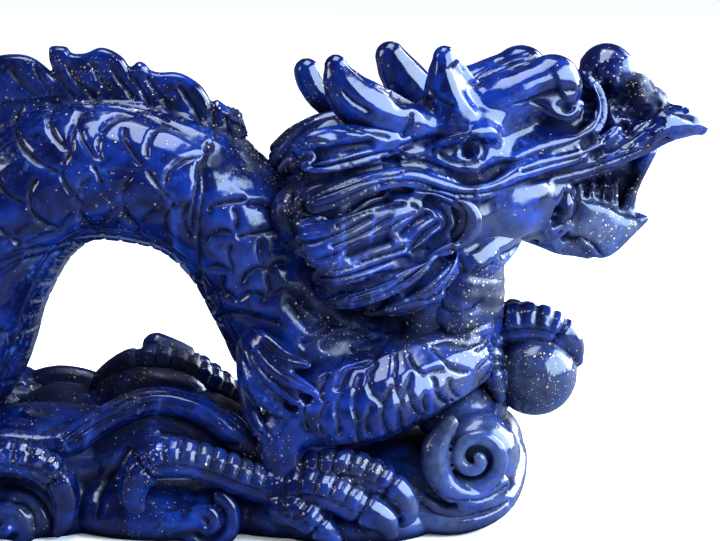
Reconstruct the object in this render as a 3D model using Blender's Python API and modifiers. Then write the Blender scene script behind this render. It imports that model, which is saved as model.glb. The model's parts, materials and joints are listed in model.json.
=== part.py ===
"""A crouching dragon on a bank of clouds, carved from one block of lapis lazuli.

The stone stands on its flat sawn underside, the plane z = 0. The dragon looks along +X, and the side that
faces -Y is the one with the raised cloud scroll. The head is laid out in a frame of its own, which is then
turned a little away from that side. Every form is laid over its neighbours and the whole is fused into one
closed surface, because the real carving is a single piece.
"""

import math

import bmesh
import bpy
from mathutils import Matrix, Vector

# Driving dimensions, in millimetres and degrees.
MM = 0.001
BODY_DEPTH_SHARE = 1.12  # the coil is a little deeper, front to back, than it is thick
HEAD_TURN = 18.0  # the head looks away from the scroll side by this much
HEAD_PIVOT = (45.0, 0.0)
FIN_LENGTHS = (6.0, 14.2, 10.6, 12.0)  # the leaves of the fin, from the neck backwards
FIN_HEIGHTS = (4.6, 8.0, 11.2, 14.4)
FIN_PITCH = 15.0  # the leaves beyond those
FIN_NECK_END = 11.4  # where the fin ends on the neck, as x on the coil's centreline
FIN_TAIL_END = 28.0  # how far along the coil from the tail's tip it starts
FIN_HALF_THICKNESS = 2.4
FAR_EAR_FORWARD = 6.0  # the far ear is laid further forward and lower than the near one
FAR_EAR_DROP = 6.5
PEARL_CENTRE = (92.6, 4.0, 31.6)
PEARL_RADIUS = 10.4
SCROLL_CENTRE = (76.6, -23.5, 18.6)
SCROLL_RADIUS = 9.4
SCROLL_EYE_RISE = 2.5
CLOUD_HALF_DEPTH = 27.0
GROUND_DEPTH = 30.0
FUSE_VOXEL = 0.9
POLISH_PASSES = 3
TRIANGLE_TARGET = 9600
LAPIS_BLUE = (0.012, 0.030, 0.190, 1.0)
LAPIS_ROUGHNESS = 0.16

# The coil from the tail's tip to the neck: x, y, z and radius.
COIL = [
    (-103, -2, 101, 1.6),
    (-111, -3, 97, 3.0),
    (-118, -3, 86, 4.8),
    (-118, -2, 70, 6.8),
    (-110, 0, 54, 8.8),
    (-98, 2, 40, 10.8),
    (-86, 3, 28, 12.6),
    (-71, 3, 22, 14.0),
    (-56, 2, 27, 15.5),
    (-46, 1, 41, 16.8),
    (-41, 0, 57, 17.2),
    (-32, 0, 73, 17.4),
    (-19, 0, 82, 17.3),
    (-4, 0, 82.2, 17.1),
    (11, 0, 77.4, 16.8),
    (22.5, 0, 66.2, 16.4),
    (30.2, 0, 51.5, 16.2),
    (38, 1, 39, 17.2),
    (52, 3, 33, 15.5),
    (63, 5, 38, 15.2),
    (67, 6, 50, 14.4),
    (63, 5, 64, 13.5),
    (53, 2, 77, 13.0),
]


def clear_scene():
    for thing in list(bpy.data.objects):
        bpy.data.objects.remove(thing, do_unlink=True)


def new_collection(name):
    made = bpy.data.collections.new(name)
    bpy.context.scene.collection.children.link(made)
    return made


def between(p0, p1, p2, p3, t):
    """A point on the smooth curve from p1 to p2, with any number of values in each point."""
    t2 = t * t
    t3 = t2 * t
    return tuple(
        0.5 * (2 * b + (c - a) * t + (2 * a - 5 * b + 4 * c - d) * t2 + (3 * b - a - 3 * c + d) * t3)
        for a, b, c, d in zip(p0, p1, p2, p3)
    )


def smooth_path(points, steps=4):
    """The points joined by a smooth curve, with so many steps from each to the next."""
    last = len(points) - 1
    path = []
    for i in range(last):
        ends = (points[max(i - 1, 0)], points[i], points[i + 1], points[min(i + 2, last)])
        path += [between(*ends, k / steps) for k in range(steps)]
    return path + [tuple(points[-1])]


def round_end(path, rings=3):
    """Points that carry on past the end of a path and close it with half a ball."""
    x, y, z, radius = path[-1]
    along = (Vector((x, y, z)) - Vector(path[-2][:3])).normalized()
    points = []
    for k in range(1, rings + 1):
        turn = math.radians(84 * k / rings)
        place = Vector((x, y, z)) + along * radius * math.sin(turn)
        points.append((*place, radius * math.cos(turn)))
    return points


def tubes(collection, name, paths, flat=1.0, steps=4, sides=2, frame=None):
    """Round bars through points of x, y, z and radius, all in one object. flat squeezes each across y."""
    data = bpy.data.curves.new(name, "CURVE")
    data.dimensions = "3D"
    data.bevel_depth = MM
    data.bevel_resolution = sides
    data.use_fill_caps = True
    for points in paths:
        path = smooth_path(points, steps)
        path = round_end(path[::-1])[::-1] + path + round_end(path)
        spline = data.splines.new("POLY")
        spline.points.add(len(path) - 1)
        for point, (x, y, z, radius) in zip(spline.points, path):
            point.co = (x * MM, y * MM / flat, z * MM, 1)
            point.radius = max(radius, 0.05)
    made = bpy.data.objects.new(name, data)
    collection.objects.link(made)
    squeeze = Matrix.Diagonal((1, flat, 1, 1))
    made.matrix_world = (frame or Matrix.Identity(4)) @ squeeze
    return made


def balls(collection, name, items, frame=None):
    """Ellipsoids, each given by its centre, its three radii and its tilt about y in degrees."""
    mesh = bmesh.new()
    for centre, radii, tilt in items:
        place = Matrix.Translation(Vector(centre) * MM)
        turn = Matrix.Rotation(math.radians(tilt), 4, "Y")
        size = Matrix.Diagonal((*[r * MM for r in radii], 1))
        bmesh.ops.create_uvsphere(mesh, u_segments=24, v_segments=14, radius=1, matrix=place @ turn @ size)
    data = bpy.data.meshes.new(name)
    mesh.to_mesh(data)
    mesh.free()
    made = bpy.data.objects.new(name, data)
    collection.objects.link(made)
    made.matrix_world = frame or Matrix.Identity(4)
    return made


def slabs(collection, name, outlines, half_thickness, rounding, frame=None):
    """Flat shapes that stand upright. Each outline is (y, points), and its points are x and z."""
    for index, (depth, outline) in enumerate(outlines):
        data = bpy.data.curves.new(f"{name}_{index}", "CURVE")
        data.dimensions = "2D"
        data.fill_mode = "BOTH"
        data.extrude = (half_thickness - rounding) * MM
        data.bevel_depth = rounding * MM
        data.bevel_resolution = 2
        data.offset = -rounding * MM
        loop = smooth_path(list(outline) + [outline[0]], 3)[:-1]
        spline = data.splines.new("POLY")
        spline.points.add(len(loop) - 1)
        spline.use_cyclic_u = True
        for point, (x, z) in zip(spline.points, loop):
            point.co = (x * MM, z * MM, 0, 1)
        made = bpy.data.objects.new(f"{name}_{index}", data)
        collection.objects.link(made)
        stand = Matrix.Translation((0, depth * MM, 0)) @ Matrix.Rotation(math.radians(90), 4, "X")
        made.matrix_world = (frame or Matrix.Identity(4)) @ stand


def mirrored(paths):
    """The same paths on both sides of the head."""
    return paths + [[(a, -w, c, r) for a, w, c, r in path] for path in paths]


def mirrored_balls(items):
    return items + [((a, -w, c), radii, tilt) for (a, w, c), radii, tilt in items]


def head_frame():
    """Carries the head's own frame into place. There a runs to the nose, w to the scroll side and c up."""
    turn = Matrix.Rotation(math.radians(HEAD_TURN), 4, "Z")
    near_side_is_minus_y = Matrix.Diagonal((1, -1, 1, 1))
    place = Matrix.Translation((HEAD_PIVOT[0] * MM, HEAD_PIVOT[1] * MM, 0))
    return place @ turn @ near_side_is_minus_y


def bundle(upper, lower, count):
    """Locks spread evenly between an upper and a lower guide."""
    locks = []
    for k in range(count):
        t = k / max(count - 1, 1)
        locks.append([tuple(a + (b - a) * t for a, b in zip(p, q)) for p, q in zip(upper, lower)])
    return locks


# The coil, its fin and its tail.


def coil_point(path, lengths, s, height):
    """A point over the back at distance s along the coil, height above its surface."""
    index = min(range(len(path)), key=lambda i: abs(lengths[i] - s))
    here = Vector(path[index][:3])
    ahead = Vector(path[min(index + 1, len(path) - 1)][:3])
    behind = Vector(path[max(index - 1, 0)][:3])
    along = (ahead - behind).normalized()
    outward = Vector((-along.z, 0, along.x)).normalized()
    return here + along * (s - lengths[index]) + outward * (path[index][3] + height)


def run_lengths(path):
    lengths = [0.0]
    for a, b in zip(path, path[1:]):
        lengths.append(lengths[-1] + (Vector(b[:3]) - Vector(a[:3])).length)
    return lengths


def fin_spans(path, lengths):
    """Each leaf's start and end along the coil, and its height, from the neck to the tail."""
    end = next(s for s, p in zip(lengths, path) if p[0] > FIN_NECK_END and p[2] > PEARL_CENTRE[2])
    spans = []
    while end - FIN_TAIL_END > FIN_PITCH / 2:
        k = len(spans)
        length = FIN_LENGTHS[k] if k < len(FIN_LENGTHS) else FIN_PITCH
        height = FIN_HEIGHTS[min(k, len(FIN_HEIGHTS) - 1)]
        start = max(end - length, FIN_TAIL_END)
        taper = min(1.0, 0.35 + 0.65 * (start - FIN_TAIL_END) / 90)
        spans.append((start, end, height * taper))
        end = start
    return spans


def fin_plates(collection):
    """Flame-shaped leaves along the back, each with a hooked tip over the tail end and a hump."""
    path = smooth_path(COIL, 8)
    lengths = run_lengths(path)
    leaf = [(0.0, 0.8), (0.05, 1.1), (0.18, 1.02), (0.34, 0.84), (0.55, 0.98), (0.8, 0.78), (1.0, 0.3)]
    root = [(1.06, -0.1), (1.0, -0.6), (0.05, -0.6), (-0.02, 0.3)]
    outlines = []
    for start, end, height in fin_spans(path, lengths):
        points = []
        for u, h in leaf + root:
            points.append(coil_point(path, lengths, start + u * (end - start), h * height))
        outlines.append((sum(p.y for p in points) / len(points), [(p.x, p.z) for p in points]))
    slabs(collection, "fin", outlines, FIN_HALF_THICKNESS, 1.0)


def tail_flames(collection):
    """The tuft of flames that ends the tail."""
    flames = [
        [(-112, -3, 92, 4.5), (-108, -4, 101, 4.0), (-98, -4, 106, 2.8), (-89, -4, 104, 1.2)],
        [(-115, -3, 90, 4.5), (-113, -3, 103, 3.8), (-106, -3, 111, 2.4), (-99, -3, 113, 1.0)],
        [(-118, -2, 86, 4.5), (-121, -2, 98, 3.8), (-119, -2, 107, 2.6), (-114, -2, 113, 1.0)],
        [(-118, -2, 80, 4.5), (-126, -1, 90, 3.4), (-129, -1, 99, 2.4), (-128, -1, 107, 1.0)],
        [(-118, -2, 72, 4.5), (-126, -1, 78, 3.0), (-131, -1, 86, 1.8), (-132, -1, 92, 0.9)],
    ]
    tubes(collection, "tail_flames", flames, flat=0.9)


def coil(collection):
    tubes(collection, "coil", [COIL], flat=BODY_DEPTH_SHARE, steps=6, sides=8)


# The head, in its own frame.


def skull(collection, frame):
    forms = [
        ((10, 0, 86), (21, 16.5, 10.5), 0),
        ((34, 0, 90), (20, 12.5, 9.5), 0),
        ((56, 0, 93), (16, 9, 8.5), 0),
        ((71, 0, 93), (11, 8.5, 6.5), -8),
        ((6, 0, 70), (23, 18, 18), 10),
    ]
    balls(collection, "skull", forms, frame)
    cheeks = [
        ((34, 10, 73), (18, 7.6, 10.5), -14),
        ((50, 8, 73), (8, 5.4, 9), -15),
        ((26, 11, 84), (14, 6.5, 8), 0),
        ((44, 9, 86), (16, 5.5, 6.5), -6),
        ((22, 12, 72), (12, 8, 11), 0),
    ]
    balls(collection, "cheeks", mirrored_balls(cheeks), frame)


def muzzle(collection, frame):
    lip = [
        (49, 11, 80, 2.2),
        (57, 10.8, 81.6, 2.6),
        (65, 10.4, 84.2, 3.3),
        (73, 10, 87.6, 4.2),
        (80.5, 9.4, 91.2, 4.8),
        (86.4, 8.9, 91.0, 3.8),
        (90.4, 8.6, 89.6, 2.0),
    ]
    tubes(collection, "lips", mirrored([lip]), flat=0.85, frame=frame)
    knob = [
        ((68.8, 0, 104), (6.6, 7.6, 6.4), 0), ((79, 0, 95), (6.5, 7.5, 4.4), 8),
        ((62, 0, 99), (5, 7, 4.5), 0),
    ]
    nostrils = [((73.6, 6.6, 99.0), (5.2, 4.4, 4.6), 20), ((78.5, 6.5, 96.5), (4, 3.6, 3), 10)]
    balls(collection, "nose", knob + mirrored_balls(nostrils), frame)
    fold = [
        (58.8, 8.5, 103.4, 1.7),
        (61.4, 10, 99.5, 2.0),
        (62.4, 10.8, 95.2, 2.0),
        (60.6, 11.8, 91.4, 1.8),
        (54.4, 13, 88.8, 1.5),
        (46.5, 14.2, 87.2, 1.3),
        (38, 15.4, 85.4, 1.1),
    ]
    tubes(collection, "nose_folds", mirrored([fold]), frame=frame)


def lower_jaw(collection, frame):
    chin = [
        (56, 66), (56.6, 73.4), (60.7, 73.8), (66, 72.2), (70.9, 69.8), (76.4, 68.6),
        (77.2, 67.4), (74.4, 64.4), (69.4, 60.2), (66.5, 58.6), (63.6, 58.4), (60, 61.8),
    ]
    heel = [
        (42, 66), (45, 63.2), (49.5, 61.6), (54, 59.6), (58, 58.8), (64, 58.6), (66, 64),
        (62, 70), (50, 73), (42, 72),
    ]
    slabs(collection, "chin", [(0, chin)], 9.2, 0.8, frame)
    slabs(collection, "jaw_heel", [(0, heel)], 6.2, 1.0, frame)
    flap = [
        (55, 11.2, 78, 1.6), (57, 11.6, 74.2, 1.9), (56.6, 11.8, 70.4, 1.8),
        (54, 11.8, 68, 1.5), (49.5, 11.8, 66.8, 1.0),
    ]
    tubes(collection, "mouth_corner", mirrored([flap]), frame=frame)


def teeth(collection, frame):
    upper = [[(a, 8.2, 82.6, 1.6), (a + 0.2, 8, 77.4, 0.9)] for a in (58.6, 61.6, 64.6, 67.4)]
    lower = [[(a, 7.2, 71.2, 1.6), (a, 7.4, 75.4, 1.1)] for a in (59.8, 62.6, 65.4)]
    fang = [
        [(77.6, 5.6, 84.4, 2.6), (75.4, 5.6, 79, 2.0), (73.6, 5.6, 74.4, 1.7), (72.6, 5.6, 69.6, 2.0)],
    ]
    tubes(collection, "teeth", mirrored(upper + lower + fang), steps=2, frame=frame)
    balls(collection, "tongue", [((61, 0, 75.4), (9, 5.2, 2.6), 4)], frame)


def brows(collection, frame):
    ridge = [
        (22, 11.6, 93.5, 4.4), (33, 11.2, 97.2, 5.4), (41, 10.8, 99.8, 6.2),
        (48, 10.4, 101.6, 6.5), (51.6, 10.2, 101.8, 6.2),
    ]
    tubes(collection, "brow_ridges", mirrored([ridge]), steps=5, sides=4, frame=frame)
    lids = [
        [
            (45.2, 13.8, 98.4, 1.0), (48.6, 14.6, 95.8, 1.5), (52.6, 14.2, 94.6, 1.6),
            (56.6, 12.6, 97.4, 1.0),
        ],
        [
            (18, 15.4, 89.2, 1.2), (22.5, 16.8, 91.4, 1.7), (29, 16.8, 92.6, 2.2),
            (36, 15.6, 91.6, 1.8), (40, 14.6, 90, 1.0),
        ],
        [(20, 16.2, 86.4, 1.0), (25, 17.2, 84.9, 1.2), (30, 16.8, 85.0, 1.2), (33.4, 15.8, 87, 0.9)],
    ]
    tubes(collection, "lids", mirrored(lids), frame=frame)
    balls(collection, "eyes", mirrored_balls([((26.6, 13.6, 88.2), (5.2, 3.4, 3.4), 0)]), frame)


def horns(collection, frame):
    pairs = [
        [
            (20, 12.4, 92, 4.6), (12.6, 14, 95.2, 4.3), (6.5, 14.8, 97.6, 4.2),
            (0.9, 15, 100.4, 4.1), (-3.2, 15.2, 104, 3.8), (-4.6, 15.4, 107, 3.4),
        ],
        [(28, 8.6, 93, 6.2), (25.4, 9.8, 99.4, 5.4), (23.6, 10.6, 104.2, 4.2), (22.5, 11, 108, 3.1)],
        [
            (18, -12.6, 91, 5.0), (6.3, -14.5, 95, 4.6), (1.2, -15, 97.8, 4.2),
            (-1.8, -15.2, 100.8, 3.8), (-3.2, -15.4, 104.2, 3.4),
        ],
        [
            (28, -8.6, 93, 6.0), (25, -10.5, 96, 5.4), (22, -11, 99.2, 4.8),
            (19, -11.2, 103.3, 4.4), (16.8, -11.2, 107.2, 4.0),
        ],
    ]
    tubes(collection, "horns", pairs, steps=5, sides=4, frame=frame)


def ears(collection, frame):
    leaves = [
        [
            (11, 15.4, 91.4, 2.4), (2, 17.4, 92.4, 3.4), (-5.4, 18.4, 92.8, 3.6),
            (-12, 19, 92.4, 3.2), (-15.6, 19, 91.8, 2.0),
        ],
        [
            (9, 16.4, 89.6, 1.6), (1.5, 18.4, 89, 2.2), (-4.5, 19.4, 88.0, 2.4),
            (-10.5, 20, 87.2, 2.2), (-14.4, 20, 87.2, 1.5),
        ],
    ]
    far = [[(a + FAR_EAR_FORWARD, -w, c - FAR_EAR_DROP, r) for a, w, c, r in leaf] for leaf in leaves]
    tubes(collection, "ears", leaves + far, flat=0.8, frame=frame)


def whiskers(collection, frame):
    """The long raised band from the nose, under the eye, to the mane."""
    band = [
        (67, 10.4, 90.0, 1.7),
        (60, 12.2, 86.4, 1.9),
        (52, 13.8, 84.4, 1.9),
        (46, 15, 83.6, 2.0),
        (39.6, 16.4, 82.4, 2.1),
        (34.6, 17.2, 80.6, 2.2),
        (29.6, 17.8, 79.2, 2.2),
        (25.2, 18.2, 79, 2.2),
        (20.8, 18.8, 80.4, 2.2),
        (15.6, 19.4, 82.3, 2.3),
        (10, 20, 83.4, 2.4),
        (5, 20.6, 83.4, 2.5),
        (-1, 21, 82.2, 2.6),
        (-7, 21.4, 80.4, 2.7),
        (-12.6, 21.4, 78.4, 2.2),
    ]
    tubes(collection, "whiskers", mirrored([band]), steps=3, frame=frame)


def mane(collection, frame):
    """Two comma-shaped swirls of locks on each cheek and one sweep along the crown."""
    locks = [
        [
            (21, 18.5, 78.2, 1.5), (8, 20.8, 77.4, 2.0), (-2, 21.4, 76, 2.1),
            (-10, 21.2, 74.8, 1.9), (-16, 20.6, 74, 1.2),
        ],
        [
            (20, 19, 76.2, 1.4), (10, 21.4, 74.6, 1.9), (0, 21.8, 73, 2.1),
            (-9, 21.4, 71.6, 1.9), (-16.4, 20.8, 70.8, 1.2),
        ],
        [
            (19, 19.5, 74.4, 1.4), (7, 22, 72, 2.1), (-3, 22.2, 69.8, 2.2),
            (-11.5, 21.6, 68.2, 1.9), (-16.6, 21, 67.6, 1.2),
        ],
        [
            (19, 20, 72.6, 1.3), (10, 22.4, 69.6, 1.9), (0, 22.6, 67, 2.1),
            (-9, 21.8, 65.6, 1.9), (-14, 21, 65, 1.2),
        ],
        [
            (22, 20, 71, 1.4), (11, 22.6, 66.2, 2.2), (1, 22.8, 63, 2.6), (-7, 22, 61.6, 2.5),
            (-11.6, 21.4, 61.4, 2.0),
        ],
        [
            (22, 19.6, 68, 1.4), (12.5, 22, 62, 2.2), (3.5, 21.8, 57.6, 2.5),
            (-4, 20.8, 55.4, 2.2), (-8.8, 20, 54.6, 1.3),
        ],
        [
            (24, 19, 64, 1.5), (17.5, 20.4, 58.4, 2.1), (10, 20.2, 54.8, 2.3),
            (4.5, 19.2, 52.6, 2.0), (1.2, 18.4, 51.6, 1.2),
        ],
        [(26.5, 18, 62, 1.5), (21, 19, 57, 2.1), (13, 18.6, 53.2, 2.2), (7.5, 17.4, 51, 1.5)],
        [
            (12, 19.6, 80.2, 1.4), (18.3, 19.6, 79, 1.8), (24.5, 19.6, 76, 2.1),
            (27, 19.4, 72.2, 2.3), (24, 20, 67.8, 2.1), (16, 21.6, 65.2, 1.6),
        ],
        [(31, 16.4, 66, 2.2), (28, 17, 61, 2.4), (23.5, 16.8, 56.5, 2.4), (17, 16, 53, 1.8)],
    ]
    crown = bundle(
        [(14, 12.5, 92, 2.4), (3, 14, 92.4, 2.9), (-6, 14.5, 89.6, 2.8), (-12, 14, 86.4, 1.8)],
        [(14, 3, 93.4, 2.4), (0, 4, 93.6, 3.0), (-8, 4.5, 90.4, 2.9), (-15, 4.5, 84, 1.8)],
        3,
    )
    tubes(collection, "mane", mirrored(locks + crown), steps=4, sides=2, frame=frame)
    backing = [
        ((1, 10, 76), (14, 11, 12), 0),
        ((4, 10, 64), (19, 11, 12.5), 20),
        ((0, 8, 86), (14, 9, 6.5), 0),
        ((20, 9, 62), (15, 8.5, 9.5), -28),
    ]
    balls(collection, "mane_backing", mirrored_balls(backing), frame)


# The throat, the limbs and the pearl.


def throat(collection):
    """Overlapping plates round the front of the neck."""
    plates = []
    for k, (x, z) in enumerate([(73, 60), (73.5, 53.5), (73.4, 47), (72.4, 40.4), (70, 34)]):
        reach = 11.5 - 0.4 * k
        arc = []
        for turn in (-130, -90, -45, 0, 45, 90):
            angle = math.radians(turn)
            forward = reach * math.cos(angle) * 0.72
            arc.append((x + forward, 4 + 1.35 * reach * math.sin(angle), z - 2 * math.cos(angle), 3.8))
        plates.append(arc)
    tubes(collection, "throat_plates", plates, steps=3, sides=2)


def limbs(collection):
    near_fore = [
        (74, -9, 38, 8), (64, -16, 35.6, 10), (55, -20, 33, 11), (45, -21.5, 30.4, 11),
        (37, -22.5, 26.5, 9.6), (32.5, -24, 21.5, 7), (33, -26, 13, 5.6),
    ]
    far_fore = [
        (62, 8, 40, 12), (50, 18, 37, 11), (43, 23, 33, 9.4), (54, 24.5, 30.5, 8.4),
        (67, 22.5, 34, 7.6), (76, 17, 39, 6.6), (81, 11, 41.5, 5.6),
    ]
    near_hind = [
        (-74, -6, 27, 13), (-66, -16, 30, 11.5), (-57, -21, 25, 9), (-54, -24, 15, 6.8),
        (-50, -26, 11, 5.8),
    ]
    far_hind = [
        (-56, 8, 27, 14), (-44, 17, 22, 11), (-26, 24, 17, 8.8), (-6, 27, 14.5, 7),
        (12, 27.5, 12, 6), (22, 27, 11, 5.4),
    ]
    tubes(collection, "limbs", [near_fore, far_fore, near_hind, far_hind], steps=5, sides=4)


def elbow_flames(collection):
    """Fringes of hair that sweep over each elbow and knee."""
    fringe = [
        [(24.6, -20, 48, 1.2), (28, -24, 46.8, 1.9), (32.6, -27, 43.4, 2.1), (38, -29, 42, 1.1)],
        [(24, -20, 47, 1.2), (26.6, -24, 44.6, 2.1), (32, -28, 39.6, 2.3), (40.4, -30.5, 35.6, 1.1)],
        [(23.2, -20, 46, 1.2), (25.4, -24, 42.4, 2.1), (29.8, -28, 37, 2.3), (37.6, -31, 32.6, 1.1)],
        [(22.6, -19, 45, 1.2), (24.2, -23, 39.4, 2.1), (28, -27, 33.4, 2.3), (35.4, -30, 29.4, 1.1)],
        [(22, -18, 43, 1.2), (23.4, -22, 35, 2.0), (26, -26, 27, 2.2), (30.6, -28, 21, 1.2)],
    ]
    hind = bundle(
        [(-80, -17, 42, 1.2), (-72, -21, 39, 2.4), (-64, -25, 35, 2.4), (-58, -26, 32, 1.3)],
        [(-80, -17, 35, 1.2), (-74, -22, 27, 2.4), (-66, -25, 20, 2.4), (-59, -26, 16, 1.3)],
        4,
    )
    far = [[(x + 7, -y, z, r) for x, y, z, r in lock] for lock in fringe]
    tubes(collection, "elbow_flames", fringe + hind + far, steps=3)


TOES = [
    [
        (33, -26, 13, 5.0), (40, -27, 17, 5.0), (47.5, -29, 17.4, 4.6), (54, -30, 15, 4.4),
        (59, -30.5, 11.4, 3.8), (61, -30.5, 7, 2.8), (59.4, -30.5, 4.4, 1.4),
    ],
    [
        (32, -28, 11.5, 5.0), (38, -31, 13.4, 4.8), (44.5, -33, 12.4, 4.6), (51, -34, 9.0, 4.2),
        (55.5, -34, 6.4, 3.4), (57, -34, 3.6, 2.2),
    ],
    [(32, -30, 8, 4.6), (36, -33.5, 8.4, 4.2), (40.5, -35, 5.6, 3.8), (44, -35.5, 2.4, 2.2)],
    [
        (30, -27, 12.5, 5.0), (24, -28.5, 14.6, 4.6), (17.6, -29.5, 17.6, 4.6),
        (11.8, -30, 19.6, 4.6), (6, -30, 20.4, 4.6), (1.2, -30, 18.6, 4.4),
        (-2, -30, 14.4, 3.9), (-2.4, -30, 9.6, 3.0), (0, -30, 6.6, 1.6),
    ],
    [
        (-50, -26, 12, 5.2), (-42, -28, 18, 4.8), (-33, -29, 20, 4.6), (-26, -29.5, 19.4, 4.4),
        (-20.8, -29.5, 16.4, 4.0), (-18.2, -29.5, 11, 3.6), (-18.6, -29.5, 5.6, 2.8),
        (-20.4, -29.5, 2, 1.4),
    ],
    [(-52, -28, 9, 5), (-46, -32, 9, 4.8), (-41, -33, 6, 4.4), (-39, -33, 1.5, 2.4)],
    [(-54, -25, 10, 5), (-63, -28, 14, 5), (-72, -29, 11, 4.4), (-76, -29, 4, 2.2)],
    [(22, 27, 11, 5.2), (32, 29, 14, 5.0), (42, 30.5, 11, 4.4), (47.5, 30.5, 4, 2.2)],
    [(20, 28, 9, 5.0), (28, 32, 10, 4.6), (35, 33.5, 6.5, 4.0), (38.5, 33.5, 2, 2.0)],
    [
        (24, 25, 12, 5), (18, 22, 20, 4.8), (11, 19, 25.4, 4.8), (3, 18, 29.8, 4.9),
        (-5, 18, 30.2, 4.9), (-12, 18.5, 26.4, 4.4), (-17, 19, 20.5, 3.6),
    ],
    [(22, 26, 14, 4.8), (14, 27, 22, 4.6), (5, 26, 28.8, 4.6), (-1.4, 25, 33, 3.8)],
    [
        (79, 10, 41, 5.2), (85.5, 4, 43.8, 5.4), (92, 3, 44.4, 5.2), (97.6, 3, 42.6, 4.6),
        (101.4, 3.5, 38.6, 3.4), (103, 4, 34.8, 1.6),
    ],
    [
        (80, 12, 41, 5.0), (87, 12, 43.4, 5.0), (94, 12, 42, 4.4), (99.5, 12, 37, 3.2),
        (101, 12, 31, 1.6),
    ],
    [(79, 8, 40, 4.8), (80.5, 0, 39.5, 4.2), (81.5, -4, 34, 3.4), (83.5, -4.5, 28, 1.8)],
]


def paws(collection):
    tubes(collection, "toes", TOES, steps=4, sides=2)


def pearl(collection):
    balls(collection, "pearl", [(PEARL_CENTRE, (PEARL_RADIUS,) * 3, 0)])


# The clouds that everything stands on.


def spiral(centre, radius, turns=1.75, hand=1, start=200.0, thickness=0.24):
    """A scroll in the plane of x and z, from its outer end to its eye."""
    x0, y0, z0 = centre
    steps = 20
    points = []
    for k in range(steps + 1):
        share = k / steps
        angle = math.radians(start + hand * 360 * turns * share)
        reach = radius * (1 - thickness * 0.6) * (1 - 0.86 * share)
        bar = radius * thickness * (1 - 0.35 * share)
        outward = -1 if y0 < 0 else 1
        depth = y0 + outward * share * SCROLL_EYE_RISE
        points.append((x0 + reach * math.cos(angle), depth, z0 + reach * math.sin(angle), bar))
    return points


def clouds(collection):
    lobes = [
        ((62, 0, 6), (26, 27, 11), 0),
        ((76, -2, 10), (12, 22, 12), 0),
        ((83, 8, 12), (7.5, 12, 10), 0),
        ((36, 0, 4), (30, 30, 12), 0),
        ((4, -2, 5), (34, 31, 12), 0),
        ((3, -12, 13), (24, 12, 18.5), 0),
        ((2, 12, 12), (24, 14, 14), 0),
        ((-30, 0, 5), (30, 31, 13), 0),
        ((-24, 10, 14), (14, 14, 13), 0),
        ((-62, 0, 5), (32, 31, 13), 0),
        ((-92, 0, 6), (20, 25, 13), 0),
        ((-104, 4, 9), (12, 16, 11), 0),
        ((77, -13, 16), (11, 10, 11), 0),
        ((-92, -13, 13), (11, 12, 11), 0),
    ]
    balls(collection, "cloud_lobes", lobes)
    near, far = -CLOUD_HALF_DEPTH, CLOUD_HALF_DEPTH
    scrolls = [
        spiral(SCROLL_CENTRE, SCROLL_RADIUS, hand=1, start=205),
        spiral((-94, near + 3, 13), 10.5, hand=-1, start=20),
        spiral((-32.7, near - 1, 4), 10, hand=1, start=120),
        spiral((14, near - 2, 4.5), 8.5, hand=-1, start=60),
        spiral((72, far - 5, 12), 10, hand=-1, start=30),
        spiral((2, far, 10), 9.5, hand=1, start=150),
        spiral((-24, far, 9), 8, hand=-1, start=30),
        spiral((-92, far - 4, 12), 10, hand=1, start=160),
    ]
    tubes(collection, "scrolls", scrolls, steps=1, sides=2)
    waves = [
        [
            (-46, -21, 19, 3.2), (-34, -23, 22, 3.2), (-24, -22, 21, 3.2),
            (-17, -21.5, 22.4, 3.4), (-11, -21, 26, 3.4), (-3, -20, 30, 3.4),
            (4, -19.5, 31, 3.4), (12, -20, 29, 3.4), (19, -21, 24.4, 3.4), (26, -22, 19, 3),
        ],
        [(-38, 19, 22, 3.6), (-28, 20, 25.6, 3.6), (-20, 20, 25.2, 3.6), (-12, 20, 22, 3.6)],
        [
            (62, -25, 4.4, 3.4), (73, -25, 3.6, 3.6), (82, -20, 6, 3.8), (86, -8, 9, 4),
            (86.5, 4, 12, 4.4), (84, 16, 9, 4),
        ],
        [
            (71, -25, 27, 2.0), (67.5, -26, 21.5, 3.2), (68, -26.5, 15.4, 3.4),
            (72, -26, 10.6, 2.8), (78, -24, 8.6, 2.6), (83, -21, 11, 2.4),
        ],
    ]
    tubes(collection, "waves", waves, steps=4, sides=2)


def as_mesh(source, collection):
    """A closed mesh copy of a curve or mesh object, in the world's frame, in place of it."""
    graph = bpy.context.evaluated_depsgraph_get()
    data = bpy.data.meshes.new_from_object(source.evaluated_get(graph))
    data.transform(source.matrix_world)
    if source.matrix_world.determinant() < 0:
        data.flip_normals()
    shape = bmesh.new()
    shape.from_mesh(data)
    bmesh.ops.remove_doubles(shape, verts=shape.verts, dist=1e-6)
    shape.to_mesh(data)
    shape.free()
    made = bpy.data.objects.new(source.name + "_solid", data)
    collection.objects.link(made)
    bpy.data.objects.remove(source, do_unlink=True)
    return made


def joined(objects, name, collection):
    """All the meshes in one object, still as overlapping shells."""
    shape = bmesh.new()
    for thing in objects:
        shape.from_mesh(thing.data)
    data = bpy.data.meshes.new(name)
    shape.to_mesh(data)
    shape.free()
    made = bpy.data.objects.new(name, data)
    collection.objects.link(made)
    for thing in objects:
        bpy.data.objects.remove(thing, do_unlink=True)
    return made


def lapis():
    material = bpy.data.materials.new("lapis_lazuli")
    material.use_nodes = True
    shader = material.node_tree.nodes["Principled BSDF"]
    shader.inputs["Base Color"].default_value = LAPIS_BLUE
    shader.inputs["Roughness"].default_value = LAPIS_ROUGHNESS
    shader.inputs["Metallic"].default_value = 0.0
    return material


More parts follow.
